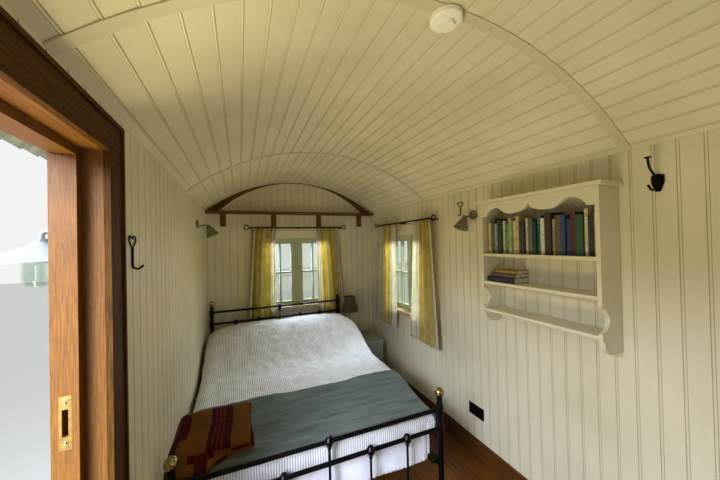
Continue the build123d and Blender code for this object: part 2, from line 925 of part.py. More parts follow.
def make_lamps():
    lamps = []
    for side, y in ((-1, lamp_left_y), (1, lamp_right_y)):
        x = side * half_room
        z = floor_height + wall_lamp_height
        inward = -side
        plate = disc((x + inward * 11, y, z + 12), 34, 22, "x")
        arm = rod((x + inward * 10, y, z - 6), (x + inward * (wall_lamp_reach - 4), y, z + 2), 6)
        place = Pos(x + inward * wall_lamp_reach, y, z - 6) * Rot(0, -inward * 24, 0)
        low = -wall_lamp_cone
        cone = [(5, 12), (15, 10), (17, 0), (54, low + 4), (56, low), (52, low), (14, -4), (5, -4)]
        shade = turned(cone, place)
        bulb = place * (Pos(0, 0, -34) * Sphere(22)) + place * disc((0, 0, -8), 12, 16, "z")
        lamps.append(plate + arm + shade + bulb)
    save("wall_lamps", *lamps)


def make_outside_lamp():
    """The enamelled lamp by the door: wall plate, swan neck, dish shade and glass jar."""
    x = -half_body - outside_lamp_reach
    y = outside_lamp_y
    rim = floor_height + outside_lamp_rim
    place = Pos(x, y, rim)
    dish = [
        (16, 76),
        (22, 64),
        (34, 54),
        (90, 30),
        (shade_radius - 12, 8),
        (shade_radius, 0),
        (shade_radius - 3, -4),
        (shade_radius - 17, 3),
        (88, 23),
        (34, 42),
        (16, 50),
    ]
    body = turned(dish, place)
    body += disc((x, y, rim + 48), 20, 56, "z")
    body += disc((x, y, rim + 13), outside_jar_radius, 26, "z")
    plate_x = -half_body
    body += disc((plate_x - 9, y, rim + 60), 40, 18, "x")
    neck = [
        (plate_x - 10, y, rim + 60),
        (plate_x - 70, y, rim + 60),
        (x + 30, y, rim + 103),
        (x, y, rim + 103),
        (x, y, rim + 70),
    ]
    body += bent_bar(neck, 8, [30, 20, 16])
    save("outside_lamp", body)
    r = outside_jar_radius
    glass = [(r - 6, 0), (r, 0), (r, -66), (r * 0.78, -90), (0, -98), (0, -92), (r * 0.7, -84), (r - 6, -62)]
    save("outside_lamp_glass", turned(glass, place))


def heart_hook(side, y, drop):
    """A forged hook on a nail: a heart along the wall, a straight stem, and a J that stands out."""
    face = side * half_room
    top = floor_height + eave_height - drop
    r = heart_bar
    across, point = heart_width / 2 - r, heart_height - r

    def at(out, along, down):
        return (face - side * out, y + along, top - down)

    nail = point + hook_bar
    hook = rod(at(0, 0, nail), at(hook_standoff, 0, nail), r)
    lobe = ((0, 14), (0.3, 5), (0.62, r), (0.9, 7), (1, 16), (0.8, 26), (0.4, 37), (0, point))
    for turn in (-1, 1):
        points = [at(hook_standoff, turn * across * share, down) for share, down in lobe]
        for start, end in zip(points, points[1:]):
            hook += rod(start, end, r) + ball(end, r)
    low = hook_length - hook_bar
    bends = [
        at(hook_standoff, 0, point),
        at(hook_standoff, 0, low + hook_bend),
        at(hook_reach, 0, low - hook_bend),
    ]
    return hook + bent_bar(bends, hook_bar, [hook_bend])


def coat_hook_solid():
    """The coat hook: a shield-shaped back plate, a long upper arm with a flat button, and a short lower arm."""
    y, drop = coat_hook
    wide, tall, thick = coat_plate
    x = half_room
    z = floor_height + eave_height - drop
    half, high = wide / 2, tall / 2
    shield = [(-half, high - 8), (0, high), (half, high - 8), (half, 2), (9, -high), (-9, -high), (-half, 2)]
    outline = FilletPolyline(*[(x, y + along, z + up) for along, up in shield], radius=7, close=True)
    coat = extrude(make_face(outline), amount=thick, dir=(-1, 0, 0))
    reach = x - coat_reach
    coat += bent_bar([(x - 6, y, z + 14), (reach + 9, y, z + 58), (reach, y, z + 100)], coat_bar, [50])
    coat += bent_bar([(x - 6, y, z - 22), (reach + 22, y, z - 36), (reach, y, z - 18)], coat_bar, [22])
    return coat + disc((reach, y, z + 102), 12, 5, "z") + ball((reach, y, z - 18), coat_bar + 1)


def make_small_fittings():
    hooks = [heart_hook(-1, *left_hook), heart_hook(1, *right_hook), coat_hook_solid()]
    save("wall_hooks", *hooks)
    crown = vault_z + vault_radius - cover_strip_thickness
    alarm = turned(
        [
            (0, 0),
            (alarm_radius, 0),
            (alarm_radius, -alarm_depth * 0.45),
            (alarm_radius - 8, -alarm_depth * 0.62),
            (alarm_radius * 0.55, -alarm_depth * 0.7),
            (alarm_radius * 0.5, -alarm_depth),
            (0, -alarm_depth),
        ],
        Pos(0, alarm_y, crown - alarm_gap),
    )
    save("smoke_alarm", alarm)
    wide, tall, thick = socket_size
    save(
        "wall_socket",
        block(
            (half_room - thick, half_room),
            (socket_y - wide / 2, socket_y + wide / 2),
            above_floor(socket_z - tall / 2, socket_z + tall / 2),
        ),
    )


# Bed and cabinet
def bed_end(y, knob_height, rails):
    """One end of the bedstead: posts with cast collars, three rails, and spindles that drop from the
    second rail, the middle one from the top rail."""
    left, right = bed_x_left, bed_x_left + bed_width
    shoulder = knob_height - 2 * knob_radius - neck_height + knob_flat
    end = Part()
    for x in (left, right):
        end += disc((x, y, floor_height + shoulder / 2), post_radius, shoulder, "z")
        end += disc((x, y, floor_height + shoulder + neck_height / 2), post_radius * 0.6, neck_height, "z")
        for z in rails:
            collar = [(0, -34), (post_radius + 2, -34), (post_radius + 8, -14), (post_radius + 8, 14)]
            collar += [(post_radius + 2, 34), (0, 34)]
            end += turned(collar, Pos(x, y, floor_height + z))
        end += disc((x, y, floor_height + 30), post_radius + 5, 60, "z")
    for z in (*rails, low_rail):
        end += disc(((left + right) / 2, y, floor_height + z), rail_radius, bed_width, "x")
    pitch = bed_width / (spindle_count + 1)
    boss = [(0, -44), (10, -44), (13, -30), (24, -8), (24, 8), (13, 24), (0, 26)]
    for i in range(spindle_count):
        x = left + pitch * (i + 1)
        top = rails[0] if i == spindle_count // 2 else rails[1]
        end += disc((x, y, floor_height + (top + low_rail) / 2), spindle_radius, top - low_rail, "z")
        end += turned(boss, Pos(x, y, floor_height + top))
    return end


def make_bed():
    foot_y = bed_y_head - bed_length
    save("bed_head", bed_end(bed_y_head, head_knob_height, head_rails))
    left, right = bed_x_left, bed_x_left + bed_width
    foot = bed_end(foot_y, foot_knob_height, foot_rails)
    low, high = above_floor(*foot_plate)
    for x in (left, right):
        outline = [(x, foot_y, low), (x, foot_y, high), (x, foot_y + foot_plate_reach, high)]
        foot += Pos(-foot_plate_thickness / 2, 0, 0) * prism(outline, (1, 0, 0), foot_plate_thickness)
    save("bed_foot", foot)
    knobs = []
    for y, height in ((bed_y_head, head_knob_height), (foot_y, foot_knob_height)):
        seat = floor_height + height - 2 * knob_radius + knob_flat
        for x in (left, right):
            knob = ball((x, y, floor_height + height - knob_radius), knob_radius)
            reach = 2 * knob_radius
            knobs.append(knob & block((x - reach, x + reach), (y - reach, y + reach), (seat, seat + 2 * reach)))
    save("bed_knobs", *knobs)
    top = floor_height + mattress_bottom
    inner = (foot_y + post_radius, bed_y_head - post_radius)
    seat = top - base_board
    base = block(
        (left + mattress_inset, right - mattress_inset),
        (foot_y + mattress_end_gap + base_board_inset, bed_y_head - mattress_end_gap),
        (seat, top),
    )
    half = side_bar_thickness / 2
    for x in (left, right):
        bar = block((x - half, x + half), inner, (seat - side_bar_depth, seat))
        flange = sorted((x, x + (mattress_inset + side_bar_flange) * (1 if x == left else -1)))
        base += bar + block(flange, inner, (seat - side_bar_flange, seat))
    save("bed_base", base)
    make_bedding(left, right, foot_y)


def make_bedding(left, right, foot_y):
    """The mattress with its quilt, throw and folded blanket, as plain soft solids."""
    x = (left + mattress_inset, right - mattress_inset)
    y = (foot_y + mattress_end_gap, bed_y_head - mattress_end_gap)
    low = floor_height + mattress_bottom
    top = low + mattress_height
    save("mattress", block(x, y, (low, top)))

    gap = quilt_clearance
    core = block((x[0] - gap, x[1] + gap), (y[0] - gap, end_inner), (floor_height, top + gap))
    wide = (x[0] - quilt_sides[0], x[1] + quilt_sides[1])
    foot = y[0] - quilt_thickness
    head = y[1] + 20
    hem = top - quilt_drop
    flat = top + quilt_thickness
    pillow = head - quilt_pillow_length
    raised = top + quilt_pillow_height
    upper = [
        Line((wide[0], foot, hem), (wide[0], foot, flat - 20)),
        ThreePointArc((wide[0], foot, flat - 20), (wide[0], foot + 6, flat - 6), (wide[0], foot + 20, flat)),
        Line((wide[0], foot + 20, flat), (wide[0], pillow, flat + 14)),
        Spline(
            (wide[0], pillow, flat + 14),
            (wide[0], pillow + quilt_pillow_length * 0.42, raised - 40),
            (wide[0], head - 150, raised),
            tangents=[(0, 1, 0.1), (0, 1, 0)],
        ),
        Line((wide[0], head - 150, raised), (wide[0], head, raised - 60)),
        Line((wide[0], head, raised - 60), (wide[0], head, hem)),
        Line((wide[0], head, hem), (wide[0], foot, hem)),
    ]
    quilt = extrude(make_face(upper), amount=wide[1] - wide[0], dir=(1, 0, 0)) - core
    save("quilt", quilt)

    def cover(across, along, thickness, drop, over):
        """A cloth laid over what is below it: a flat top and two hanging sides."""
        outer = block(across, along, (flat + over - drop, flat + over + thickness))
        under = block((wide[0] - gap, wide[1] + gap), (-end_inner, end_inner), (floor_height, flat + over + gap))
        return outer - under

    rise = 14 * (throw_y_far - foot) / (pillow - foot) + gap
    side = gap + throw_thickness
    throw = cover((wide[0] - side, wide[1] + side), (foot + 22, throw_y_far), throw_thickness, throw_drop, rise)
    save("bed_throw", throw)
    base = flat + rise + throw_thickness + gap
    save("folded_blanket", block((wide[0] - 6, blanket_x_right), blanket_y, (base, base + blanket_thickness)))


def make_cabinet():
    x, y = cabinet_x, cabinet_y
    t = cabinet_board
    top = floor_height + cabinet_height
    body = block(x, y, (floor_height, top - t)) - block(
        (x[0] + t, x[1] - t), (y[0] - 10, y[1] - t), (floor_height + cabinet_plinth, top - 2 * t)
    )
    gap = cabinet_door_gap
    door = block(
        (x[0] + t + gap, x[1] - t - gap),
        (y[0], y[0] + t),
        (floor_height + cabinet_plinth + gap, top - 2 * t - gap),
    )
    save("bedside_cabinet", body + block((x[0] - 12, x[1] + 12), (y[0] - 14, y[1]), (top - t, top)), door)
    make_table_lamp((x[0] + table_lamp_inset, table_lamp_y, top))


def make_table_lamp(foot):
    """The lamp on the cabinet: weighted base, thin stem and a tapered shade on a ring."""
    place = Pos(*foot)
    stem_top = table_lamp_height - 26
    base = [(0, 0), (58, 0), (58, 8), (44, 16), (12, 24), (6, 34)]
    ring = [(6, stem_top), (14, stem_top), (14, stem_top + 16), (0, stem_top + 16)]
    stand = turned(base + ring, place)
    high = table_lamp_height
    low = high - table_shade_height
    lower, upper = table_shade_radius, table_shade_top
    wall = 3
    shade = turned([(lower, low), (upper, high), (upper - wall, high), (lower - wall, low)], place)
    for turn in (0, 60, 120):
        bar = Rot(0, 0, turn) * Box(2 * upper + 4, 4, 4)
        shade += place * Pos(0, 0, stem_top + 8) * bar
    save("table_lamp", stand + shade)


if __name__ == "__main__":
    make_chassis()
    make_floor()
    make_running_gear()
    make_walls()
    make_roof()
    make_outer_trim()
    make_door()
    make_windows()
    make_curtains()
    make_skirting()
    make_ledge()
    make_bookshelf()
    make_lamps()
    make_outside_lamp()
    make_small_fittings()
    make_bed()
    make_cabinet()
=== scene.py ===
import math

import bmesh
import bpy
import numpy as np
from mathutils import Matrix, Vector, noise


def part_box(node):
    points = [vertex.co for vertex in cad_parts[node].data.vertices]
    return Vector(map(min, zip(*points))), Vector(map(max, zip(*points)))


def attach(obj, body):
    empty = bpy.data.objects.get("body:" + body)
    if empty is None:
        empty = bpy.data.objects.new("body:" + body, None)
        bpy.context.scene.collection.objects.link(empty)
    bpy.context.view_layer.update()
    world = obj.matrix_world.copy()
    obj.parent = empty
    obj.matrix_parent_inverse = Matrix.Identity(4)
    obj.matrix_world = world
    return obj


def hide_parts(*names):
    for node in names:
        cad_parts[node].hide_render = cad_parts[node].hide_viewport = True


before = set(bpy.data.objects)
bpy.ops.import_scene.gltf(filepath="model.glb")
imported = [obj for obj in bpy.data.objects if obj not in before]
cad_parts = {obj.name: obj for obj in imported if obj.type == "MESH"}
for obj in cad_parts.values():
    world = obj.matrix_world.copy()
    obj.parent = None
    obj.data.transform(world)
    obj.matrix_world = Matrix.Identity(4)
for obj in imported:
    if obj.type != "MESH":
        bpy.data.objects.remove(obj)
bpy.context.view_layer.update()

# The looks of a shepherd's hut, seen from inside by its open door. Lengths are in metres, and points are
# given from the middle of the room's floor: x to the right, y towards the bed's head, z up.
MM = 0.001
WHITE = "#FFFFFF"
floor_low, floor_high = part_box("floor_boards")
lining_low, lining_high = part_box("vault_lining")
MIDDLE = Vector(((floor_low.x + floor_high.x) / 2, (floor_low.y + floor_high.y) / 2, floor_high.z))
HALF_WIDTH = (floor_high.x - floor_low.x) / 2
HALF_LENGTH = (floor_high.y - floor_low.y) / 2
LINING = 12 * MM
EAVE = lining_low.z - MIDDLE.z
RISE = lining_high.z - lining_low.z - LINING
VAULT_RADIUS = (HALF_WIDTH**2 + RISE**2) / (2 * RISE)
VAULT_CENTRE = EAVE + RISE - VAULT_RADIUS
WALL_OUT = MIDDLE.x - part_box("left_wall_far")[0].x
END_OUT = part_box("far_end_wall")[1].y - MIDDLE.y
WALL_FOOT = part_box("right_wall")[0].z - MIDDLE.z
SKIRTING_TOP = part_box("skirting_boards")[1].z - MIDDLE.z


def node_box(node):
    """A node's lowest and highest corner, from the middle of the room's floor."""
    low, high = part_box(node)
    return low - MIDDLE, high - MIDDLE


# ---- making pieces
def add_node(tree, kind, settings=None, inputs=None):
    """Adds one node, with its settings, and its inputs as values or as other nodes' outputs."""
    node = tree.nodes.new(kind)
    for key, value in (settings or {}).items():
        setattr(node, key, value)
    for key, value in (inputs or {}).items():
        if isinstance(value, bpy.types.NodeSocket):
            tree.links.new(value, node.inputs[key])
        else:
            node.inputs[key].default_value = value
    return node


def calculate(tree, operation, *values):
    """One step of arithmetic on numbers or on other nodes' outputs."""
    return add_node(tree, "ShaderNodeMath", {"operation": operation}, dict(enumerate(values))).outputs[0]


def split_vector(tree, vector):
    """A vector's x, y and z."""
    return add_node(tree, "ShaderNodeSeparateXYZ", inputs={0: vector}).outputs


def join_vector(tree, x=0.0, y=0.0, z=0.0):
    """A vector from its x, y and z."""
    return add_node(tree, "ShaderNodeCombineXYZ", inputs={0: x, 1: y, 2: z}).outputs[0]


def link_piece(name, mesh):
    """A new object in the scene, at the origin."""
    piece = bpy.data.objects.new(name, mesh)
    bpy.context.scene.collection.objects.link(piece)
    return piece


def piece_from(name, shape, material):
    """A piece from an edit mesh, which is used up."""
    mesh = bpy.data.meshes.new(name)
    shape.to_mesh(mesh)
    shape.free()
    mesh.materials.append(material)
    return link_piece(name, mesh)


HELPERS = []


def link_helper(name, mesh):
    """A pattern, cutter or set of points that isn't part of the hut, and is removed at the end."""
    HELPERS.append(link_piece(name, mesh))
    return HELPERS[-1]


def keep_piece(piece, replaces=(), smooth=None):
    """A finished piece rides on the hut, and stands for the nodes that it replaces."""
    if smooth is not None:
        piece.data.polygons.foreach_set("use_smooth", [smooth] * len(piece.data.polygons))
    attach(piece, "root")
    if replaces:
        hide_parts(*replaces)
    return piece


def mesh_from(name, points, faces, material, uv=None):
    """A mesh from points given from the middle of the room's floor."""
    mesh = bpy.data.meshes.new(name)
    mesh.from_pydata([tuple(MIDDLE + Vector(p)) for p in points], [], faces)
    mesh.materials.append(material)
    if uv is not None:
        layer = mesh.uv_layers.new(name="UVMap")
        for loop in mesh.loops:
            layer.data[loop.index].uv = uv[loop.vertex_index]
    mesh.validate()
    return link_piece(name, mesh)


def face_outwards(piece):
    """Joins points that coincide, and turns every face of a closed piece outwards."""
    shape = bmesh.new()
    shape.from_mesh(piece.data)
    bmesh.ops.remove_doubles(shape, verts=shape.verts, dist=1e-6)
    bmesh.ops.recalc_face_normals(shape, faces=shape.faces)
    shape.to_mesh(piece.data)
    shape.free()


def grid_faces(rows, columns, wrap=False):
    """The faces of a grid of points, row after row; with wrap, each row closes on itself."""
    faces = []
    for i in range(rows - 1):
        for j in range(columns if wrap else columns - 1):
            k = (j + 1) % columns
            faces.append((i * columns + j, i * columns + k, (i + 1) * columns + k, (i + 1) * columns + j))
    return faces


def finish_modifiers(piece):
    """Keeps the shape that the piece's modifiers give, and removes them."""
    graph = bpy.context.evaluated_depsgraph_get()
    mesh = bpy.data.meshes.new_from_object(piece.evaluated_get(graph))
    piece.modifiers.clear()
    piece.data = mesh
    return piece


def start_tree(name, **sockets):
    """An empty geometry tree with named inputs, each of its kind."""
    tree = bpy.data.node_groups.new(name, "GeometryNodeTree")
    for label, kind in sockets.items():
        tree.interface.new_socket(label, in_out="INPUT", socket_type="NodeSocket" + kind)
    tree.interface.new_socket("Geometry", in_out="OUTPUT", socket_type="NodeSocketGeometry")
    return tree, tree.nodes.new("NodeGroupInput").outputs


def shape_of(tree, thing):
    """The mesh of an object that the tree is given."""
    return add_node(tree, "GeometryNodeObjectInfo", inputs={"Object": thing}).outputs["Geometry"]


def line_of_points(tree, count, **more):
    """Points in a line, this many."""
    inputs = {"Count": count, **more}
    return add_node(tree, "GeometryNodeMeshLine", {"mode": "OFFSET"}, inputs).outputs[0]


def copies(tree, points, shape, **more):
    """A copy of the shape on each point, made real."""
    inputs = {"Points": points, "Instance": shape, **more}
    row = add_node(tree, "GeometryNodeInstanceOnPoints", inputs=inputs).outputs[0]
    return add_node(tree, "GeometryNodeRealizeInstances", inputs={"Geometry": row}).outputs[0]


def set_positions(tree, geometry, positions):
    """Moves every point to the place worked out for it."""
    inputs = {"Geometry": geometry, "Position": positions}
    return add_node(tree, "GeometryNodeSetPosition", inputs=inputs).outputs[0]


def end_tree(tree, geometry, material):
    """Every tree ends in real meshes with their material."""
    real = add_node(tree, "GeometryNodeRealizeInstances", inputs={"Geometry": geometry}).outputs[0]
    painted = add_node(tree, "GeometryNodeSetMaterial", inputs={"Geometry": real, "Material": material})
    add_node(tree, "NodeGroupOutput", inputs={0: painted.outputs[0]})


def grow(name, tree, **values):
    """Runs a tree with its inputs set, and keeps the result as a plain mesh."""
    piece = link_piece(name, bpy.data.meshes.new(name))
    modifier = piece.modifiers.new(tree.name, "NODES")
    modifier.node_group = tree
    for item in tree.interface.items_tree:
        if item.in_out == "INPUT" and item.name in values:
            modifier[item.identifier] = values[item.name]
    return finish_modifiers(piece)


# ---- materials
def linear(hex_colour):
    """An sRGB hex colour as linear red, green, blue and alpha."""
    parts = [int(hex_colour[i : i + 2], 16) / 255 for i in (1, 3, 5)]
    return (*[c / 12.92 if c <= 0.04045 else ((c + 0.055) / 1.055) ** 2.4 for c in parts], 1.0)


def empty_material(name):
    """A material with an empty tree."""
    material = bpy.data.materials.new(name)
    material.use_nodes = True
    material.node_tree.nodes.clear()
    return material, material.node_tree


def start_material(name, colour, roughness, metallic=0.0, ior=1.5, **more):
    """A material with one shader; returns it with its tree, shader and the point in the piece's own space."""
    material, tree = empty_material(name)
    inputs = {"Base Color": linear(colour), "Roughness": roughness, "Metallic": metallic, "IOR": ior}
    inputs.update({key.replace("_", " "): value for key, value in more.items()})
    shader = add_node(tree, "ShaderNodeBsdfPrincipled", inputs=inputs)
    add_node(tree, "ShaderNodeOutputMaterial", inputs={"Surface": shader.outputs[0]})
    place = add_node(tree, "ShaderNodeTexCoord").outputs["Object"]
    return material, tree, shader, place


def mottle(tree, place, size, stretch=(1, 1, 1), detail=3.0):
    """Soft noise whose blots are about this many metres wide, drawn out along an axis by stretch."""
    scale = [1 / (size * s) for s in stretch]
    moved = add_node(tree, "ShaderNodeMapping", inputs={"Vector": place, "Scale": scale}).outputs[0]
    inputs = {"Vector": moved, "Scale": 1.0, "Detail": detail}
    return add_node(tree, "ShaderNodeTexNoise", inputs=inputs).outputs["Fac"]


def between(tree, factor, dark, light, low=0.3, high=0.7):
    """A colour between two, given in hex or as outputs, as the factor goes from low to high."""
    inputs = {"Value": factor, "From Min": low, "From Max": high}
    span = add_node(tree, "ShaderNodeMapRange", inputs=inputs).outputs[0]
    dark, light = (linear(c) if isinstance(c, str) else c for c in (dark, light))
    return add_node(tree, "ShaderNodeMix", {"data_type": "RGBA"}, {0: span, 6: dark, 7: light}).outputs[2]


def multiply(tree, share, colour, tone):
    """The colour darkened by the tone, as far as the share says."""
    settings = {"data_type": "RGBA", "blend_type": "MULTIPLY"}
    return add_node(tree, "ShaderNodeMix", settings, {0: share, 6: colour, 7: tone}).outputs[2]


def set_colour(tree, shader, colour):
    """Feeds the shader's own colour from a pattern."""
    tree.links.new(colour, shader.inputs["Base Color"])


def set_relief(tree, shader, height, distance):
    """Raises the surface by a height pattern, at most this many metres."""
    inputs = {"Height": height, "Distance": distance, "Strength": 1.0}
    bump = add_node(tree, "ShaderNodeBump", inputs=inputs)
    tree.links.new(bump.outputs[0], shader.inputs["Normal"])


def paint_dust_and_shade(tree, colour, dark, reach):
    """Darkens the colour in grooves and corners narrower than the reach: painted shade, and dust."""
    settings = {"samples": 6, "only_local": False}
    near = add_node(tree, "ShaderNodeAmbientOcclusion", settings, {"Distance": reach})
    return between(tree, near.outputs["AO"], dark, colour, 0.25, 0.85)


def stretched(axis, factor):
    """No stretch but along one axis."""
    return [factor if k == axis else 1 for k in range(3)]


def brushed_paint(name, shade, light, roughness, along=2, brush=2 * MM, dust_and_shade="#A2966E"):
    """Oil paint brushed on softwood: the eye sees faint brush marks, uneven cover, and dust with painted
    shade in the joints.
    """
    material, tree, shader, place = start_material(name, light, roughness, Specular_IOR_Level=0.3)
    paint = between(tree, mottle(tree, place, 0.35), shade, light)
    # painted shade, with some dust, darkens the joints and corners from the occlusion of nearby surfaces
    set_colour(tree, shader, paint_dust_and_shade(tree, paint, dust_and_shade, 5 * MM))
    set_relief(tree, shader, mottle(tree, place, brush, stretched(along, 40)), 0.15 * MM)
    return material


def planed_wood(name, dark, light, along, roughness=0.45, grain=7 * MM, coat=0.15, head=None, shine=0.5):
    """Oiled or varnished timber: the eye sees streaks of grain along the piece and a low sheen.

    Above the head's height, given from the ground, the grain runs along the hut instead.
    """
    material, tree, shader, place = start_material(
        name, light, roughness, Coat_Weight=coat, Coat_Roughness=0.3, Specular_IOR_Level=shine
    )
    if head is not None:
        x, y, z = split_vector(tree, place)
        inputs = {0: calculate(tree, "GREATER_THAN", z, head), 4: place, 5: join_vector(tree, x, z, y)}
        place = add_node(tree, "ShaderNodeMix", {"data_type": "VECTOR"}, inputs).outputs[1]
    streaks = mottle(tree, place, grain, stretched(along, 22), detail=5.0)
    fine = mottle(tree, place, grain / 5, stretched(along, 22 * 1.6), detail=2.0)
    broad = between(tree, streaks, dark, light, 0.34, 0.66)
    pores = between(tree, fine, "#9A9A9A", WHITE, 0.36, 0.5)
    set_colour(tree, shader, multiply(tree, 0.55, broad, pores))
    set_relief(tree, shader, fine, 0.25 * MM)
    return material


def floor_timber(pitch):
    """Varnished pine boards along the hut: each has its own tone, with a dark joint between."""
    varnish = {"Coat_Weight": 0.1, "Coat_Roughness": 0.25, "Specular_IOR_Level": 0.3}
    material, tree, shader, place = start_material("varnished_pine_floor", "#8A5630", 0.42, **varnish)
    count = calculate(tree, "DIVIDE", split_vector(tree, place)[0], pitch)
    board = calculate(tree, "FLOOR", count)
    tone = add_node(tree, "ShaderNodeTexWhiteNoise", {"noise_dimensions": "1D"}, {"W": board})
    base = between(tree, mottle(tree, place, 9 * MM, (1, 24, 1), 4.0), "#4C2604", "#7E4E14")
    toned = between(tree, tone.outputs["Value"], "#C8B49C", WHITE, 0.0, 1.0)
    from_middle = calculate(tree, "SUBTRACT", calculate(tree, "FRACT", count), 0.5)
    joint = between(tree, calculate(tree, "ABSOLUTE", from_middle), WHITE, "#1E1008", 0.484, 0.494)
    set_colour(tree, shader, multiply(tree, 1.0, multiply(tree, 1.0, base, toned), joint))
    return material


def painted_iron(name, colour, shade, roughness, lumps=14 * MM, relief=0.4 * MM, coat=0.1, shine=0.5):
    """Cast or forged iron under paint: the eye sees a soft uneven skin and dull highlights."""
    material, tree, shader, place = start_material(
        name, colour, roughness, Coat_Weight=coat, Specular_IOR_Level=shine
    )
    blots = mottle(tree, place, lumps, detail=4.0)
    set_colour(tree, shader, between(tree, blots, shade, colour))
    set_relief(tree, shader, blots, relief)
    return material


def sheet_iron():
    """Galvanised corrugated iron, weathered grey: the eye sees rain streaks and dull zinc mottling."""
    material, tree, shader, place = start_material(
        "weathered_corrugated_iron", "#8A8E8C", 0.55, metallic=0.35
    )
    base = between(tree, mottle(tree, place, 40 * MM, (1, 1, 12), 4.0), "#5C5D56", "#8A8B82")
    flecks = between(tree, mottle(tree, place, 18 * MM, detail=2.0), "#C4C6C4", WHITE)
    set_colour(tree, shader, multiply(tree, 0.6, base, flecks))
    return material


def worn_brass(name, dull, bright, roughness):
    """Handled brass: the eye sees warm bright metal dulled brown in blots."""
    material, tree, shader, place = start_material(name, bright, roughness, metallic=1.0)
    set_colour(tree, shader, between(tree, mottle(tree, place, 12 * MM, detail=4.0), dull, bright))
    return material


def clear_glass():
    """Window glass: the eye sees through it, with a weak reflection that grows towards the edge."""
    material, tree = empty_material("window_glass")
    clear = add_node(tree, "ShaderNodeBsdfTransparent", inputs={"Color": linear("#EEF3EF")})
    gloss = add_node(tree, "ShaderNodeBsdfGlossy", inputs={"Color": linear(WHITE), "Roughness": 0.02})
    facing = add_node(tree, "ShaderNodeLayerWeight", inputs={"Blend": 0.5}).outputs["Facing"]
    share = calculate(tree, "MULTIPLY_ADD", calculate(tree, "POWER", facing, 5.0), 0.8, 0.04)
    inputs = {0: share, 1: clear.outputs[0], 2: gloss.outputs[0]}
    mix = add_node(tree, "ShaderNodeMixShader", inputs=inputs)
    add_node(tree, "ShaderNodeOutputMaterial", inputs={"Surface": mix.outputs[0]})
    return material


def plain_plastic(name, colour, roughness):
    """Moulded ABS: the eye sees one even colour with a fine spark-eroded grain."""
    material, tree, shader, place = start_material(name, colour, roughness, ior=1.46)
    set_relief(tree, shader, mottle(tree, place, 0.8 * MM), 0.04 * MM)
    return material


def cloth_coordinates(tree):
    """The cloth's own metres: u across it and v down it."""
    return add_node(tree, "ShaderNodeUVMap", {"uv_map": "UVMap"}).outputs[0]


def weave_height(tree, cloth, thread):
    """Two crossed sets of threads, this far apart, drawn a little coarser than the real ones to show."""
    waves = []
    for turn in (0.0, math.pi / 2):
        inputs = {"Vector": cloth, "Rotation": (0, 0, turn)}
        moved = add_node(tree, "ShaderNodeMapping", inputs=inputs).outputs[0]
        inputs = {"Vector": moved, "Scale": 1 / (thread * 3.14), "Distortion": 0.4}
        waves.append(add_node(tree, "ShaderNodeTexWave", {"wave_profile": "SIN"}, inputs).outputs["Fac"])
    return calculate(tree, "ADD", *waves)


def stripes(tree, across, repeat, bands):
    """Woven stripes: the colour bands, as (share of the repeat, colour), come round again each repeat."""
    part = calculate(tree, "FRACT", calculate(tree, "DIVIDE", across, repeat))
    node = add_node(tree, "ShaderNodeValToRGB", inputs={0: part})
    ramp = node.color_ramp
    ramp.interpolation = "CONSTANT"
    start = 0.0
    for i, (share, colour) in enumerate(bands):
        stop = ramp.elements[0] if i == 0 else ramp.elements.new(start)
        stop.position = start
        stop.color = linear(colour)
        start += share
    # a new ramp's own last stop is left over at its end
    if ramp.elements[-1].position >= 0.999:
        ramp.elements.remove(ramp.elements[-1])
    return node.outputs[0]


def woven_cloth(name, repeat, bands, thread, relief, roughness=0.85, through=0.0, sheen=0.2, shine=0.4):
    """Woven cloth: the eye sees dyed stripes, fine threads and, with through, daylight in the weave."""
    material, tree, shader, _ = start_material(
        name, bands[0][1], roughness, Sheen_Weight=sheen, Sheen_Roughness=0.5, Specular_IOR_Level=shine
    )
    cloth = cloth_coordinates(tree)
    dyed = stripes(tree, split_vector(tree, cloth)[0], repeat, bands)
    worn = between(tree, mottle(tree, cloth, 0.09), "#E2E0DA", WHITE)
    colour = multiply(tree, 0.8, dyed, worn)
    set_colour(tree, shader, colour)
    set_relief(tree, shader, weave_height(tree, cloth, thread), relief)
    if through:
        glow = add_node(tree, "ShaderNodeBsdfTranslucent", inputs={"Color": colour})
        inputs = {0: through, 1: shader.outputs[0], 2: glow.outputs[0]}
        blend = add_node(tree, "ShaderNodeMixShader", inputs=inputs)
        out = next(n for n in tree.nodes if n.type == "OUTPUT_MATERIAL")
        tree.links.new(blend.outputs[0], out.inputs["Surface"])
    return material


def crushed_velvet():
    """Cotton velvet, brushed both ways: the eye sees a soft pile that lightens at its edges, and pale smears
    that are crushed pile and painted highlights on crease edges.
    """
    pile = {"Sheen_Weight": 0.35, "Sheen_Roughness": 0.35, "Sheen_Tint": linear("#A9BCB8")}
    material, tree, shader, _ = start_material("sage_velvet", "#58645F", 0.9, **pile)
    cloth = cloth_coordinates(tree)
    # pale smears: crushed pile, and painted highlights where creases catch the light
    pile_smear_and_highlight = mottle(tree, cloth, 0.035, (7, 1, 1), 5.0)
    set_colour(tree, shader, between(tree, pile_smear_and_highlight, "#434D48", "#5F6962", 0.35, 0.65))
    set_relief(tree, shader, mottle(tree, cloth, 1.5 * MM), 0.3 * MM)
    return material


def book_cloth():
    """Buckram bindings and page edges: the eye sees each book's own colour, rubbed pale in places."""
    material, tree, shader, place = start_material("book_buckram", "#6A6A62", 0.6)
    cover = add_node(tree, "ShaderNodeVertexColor", {"layer_name": "cover"}).outputs["Color"]
    rubbed = between(tree, mottle(tree, place, 30 * MM, detail=4.0), "#C8C4BA", WHITE)
    set_colour(tree, shader, multiply(tree, 1.0, cover, rubbed))
    set_relief(tree, shader, mottle(tree, place, 0.9 * MM), 0.1 * MM)
    return material
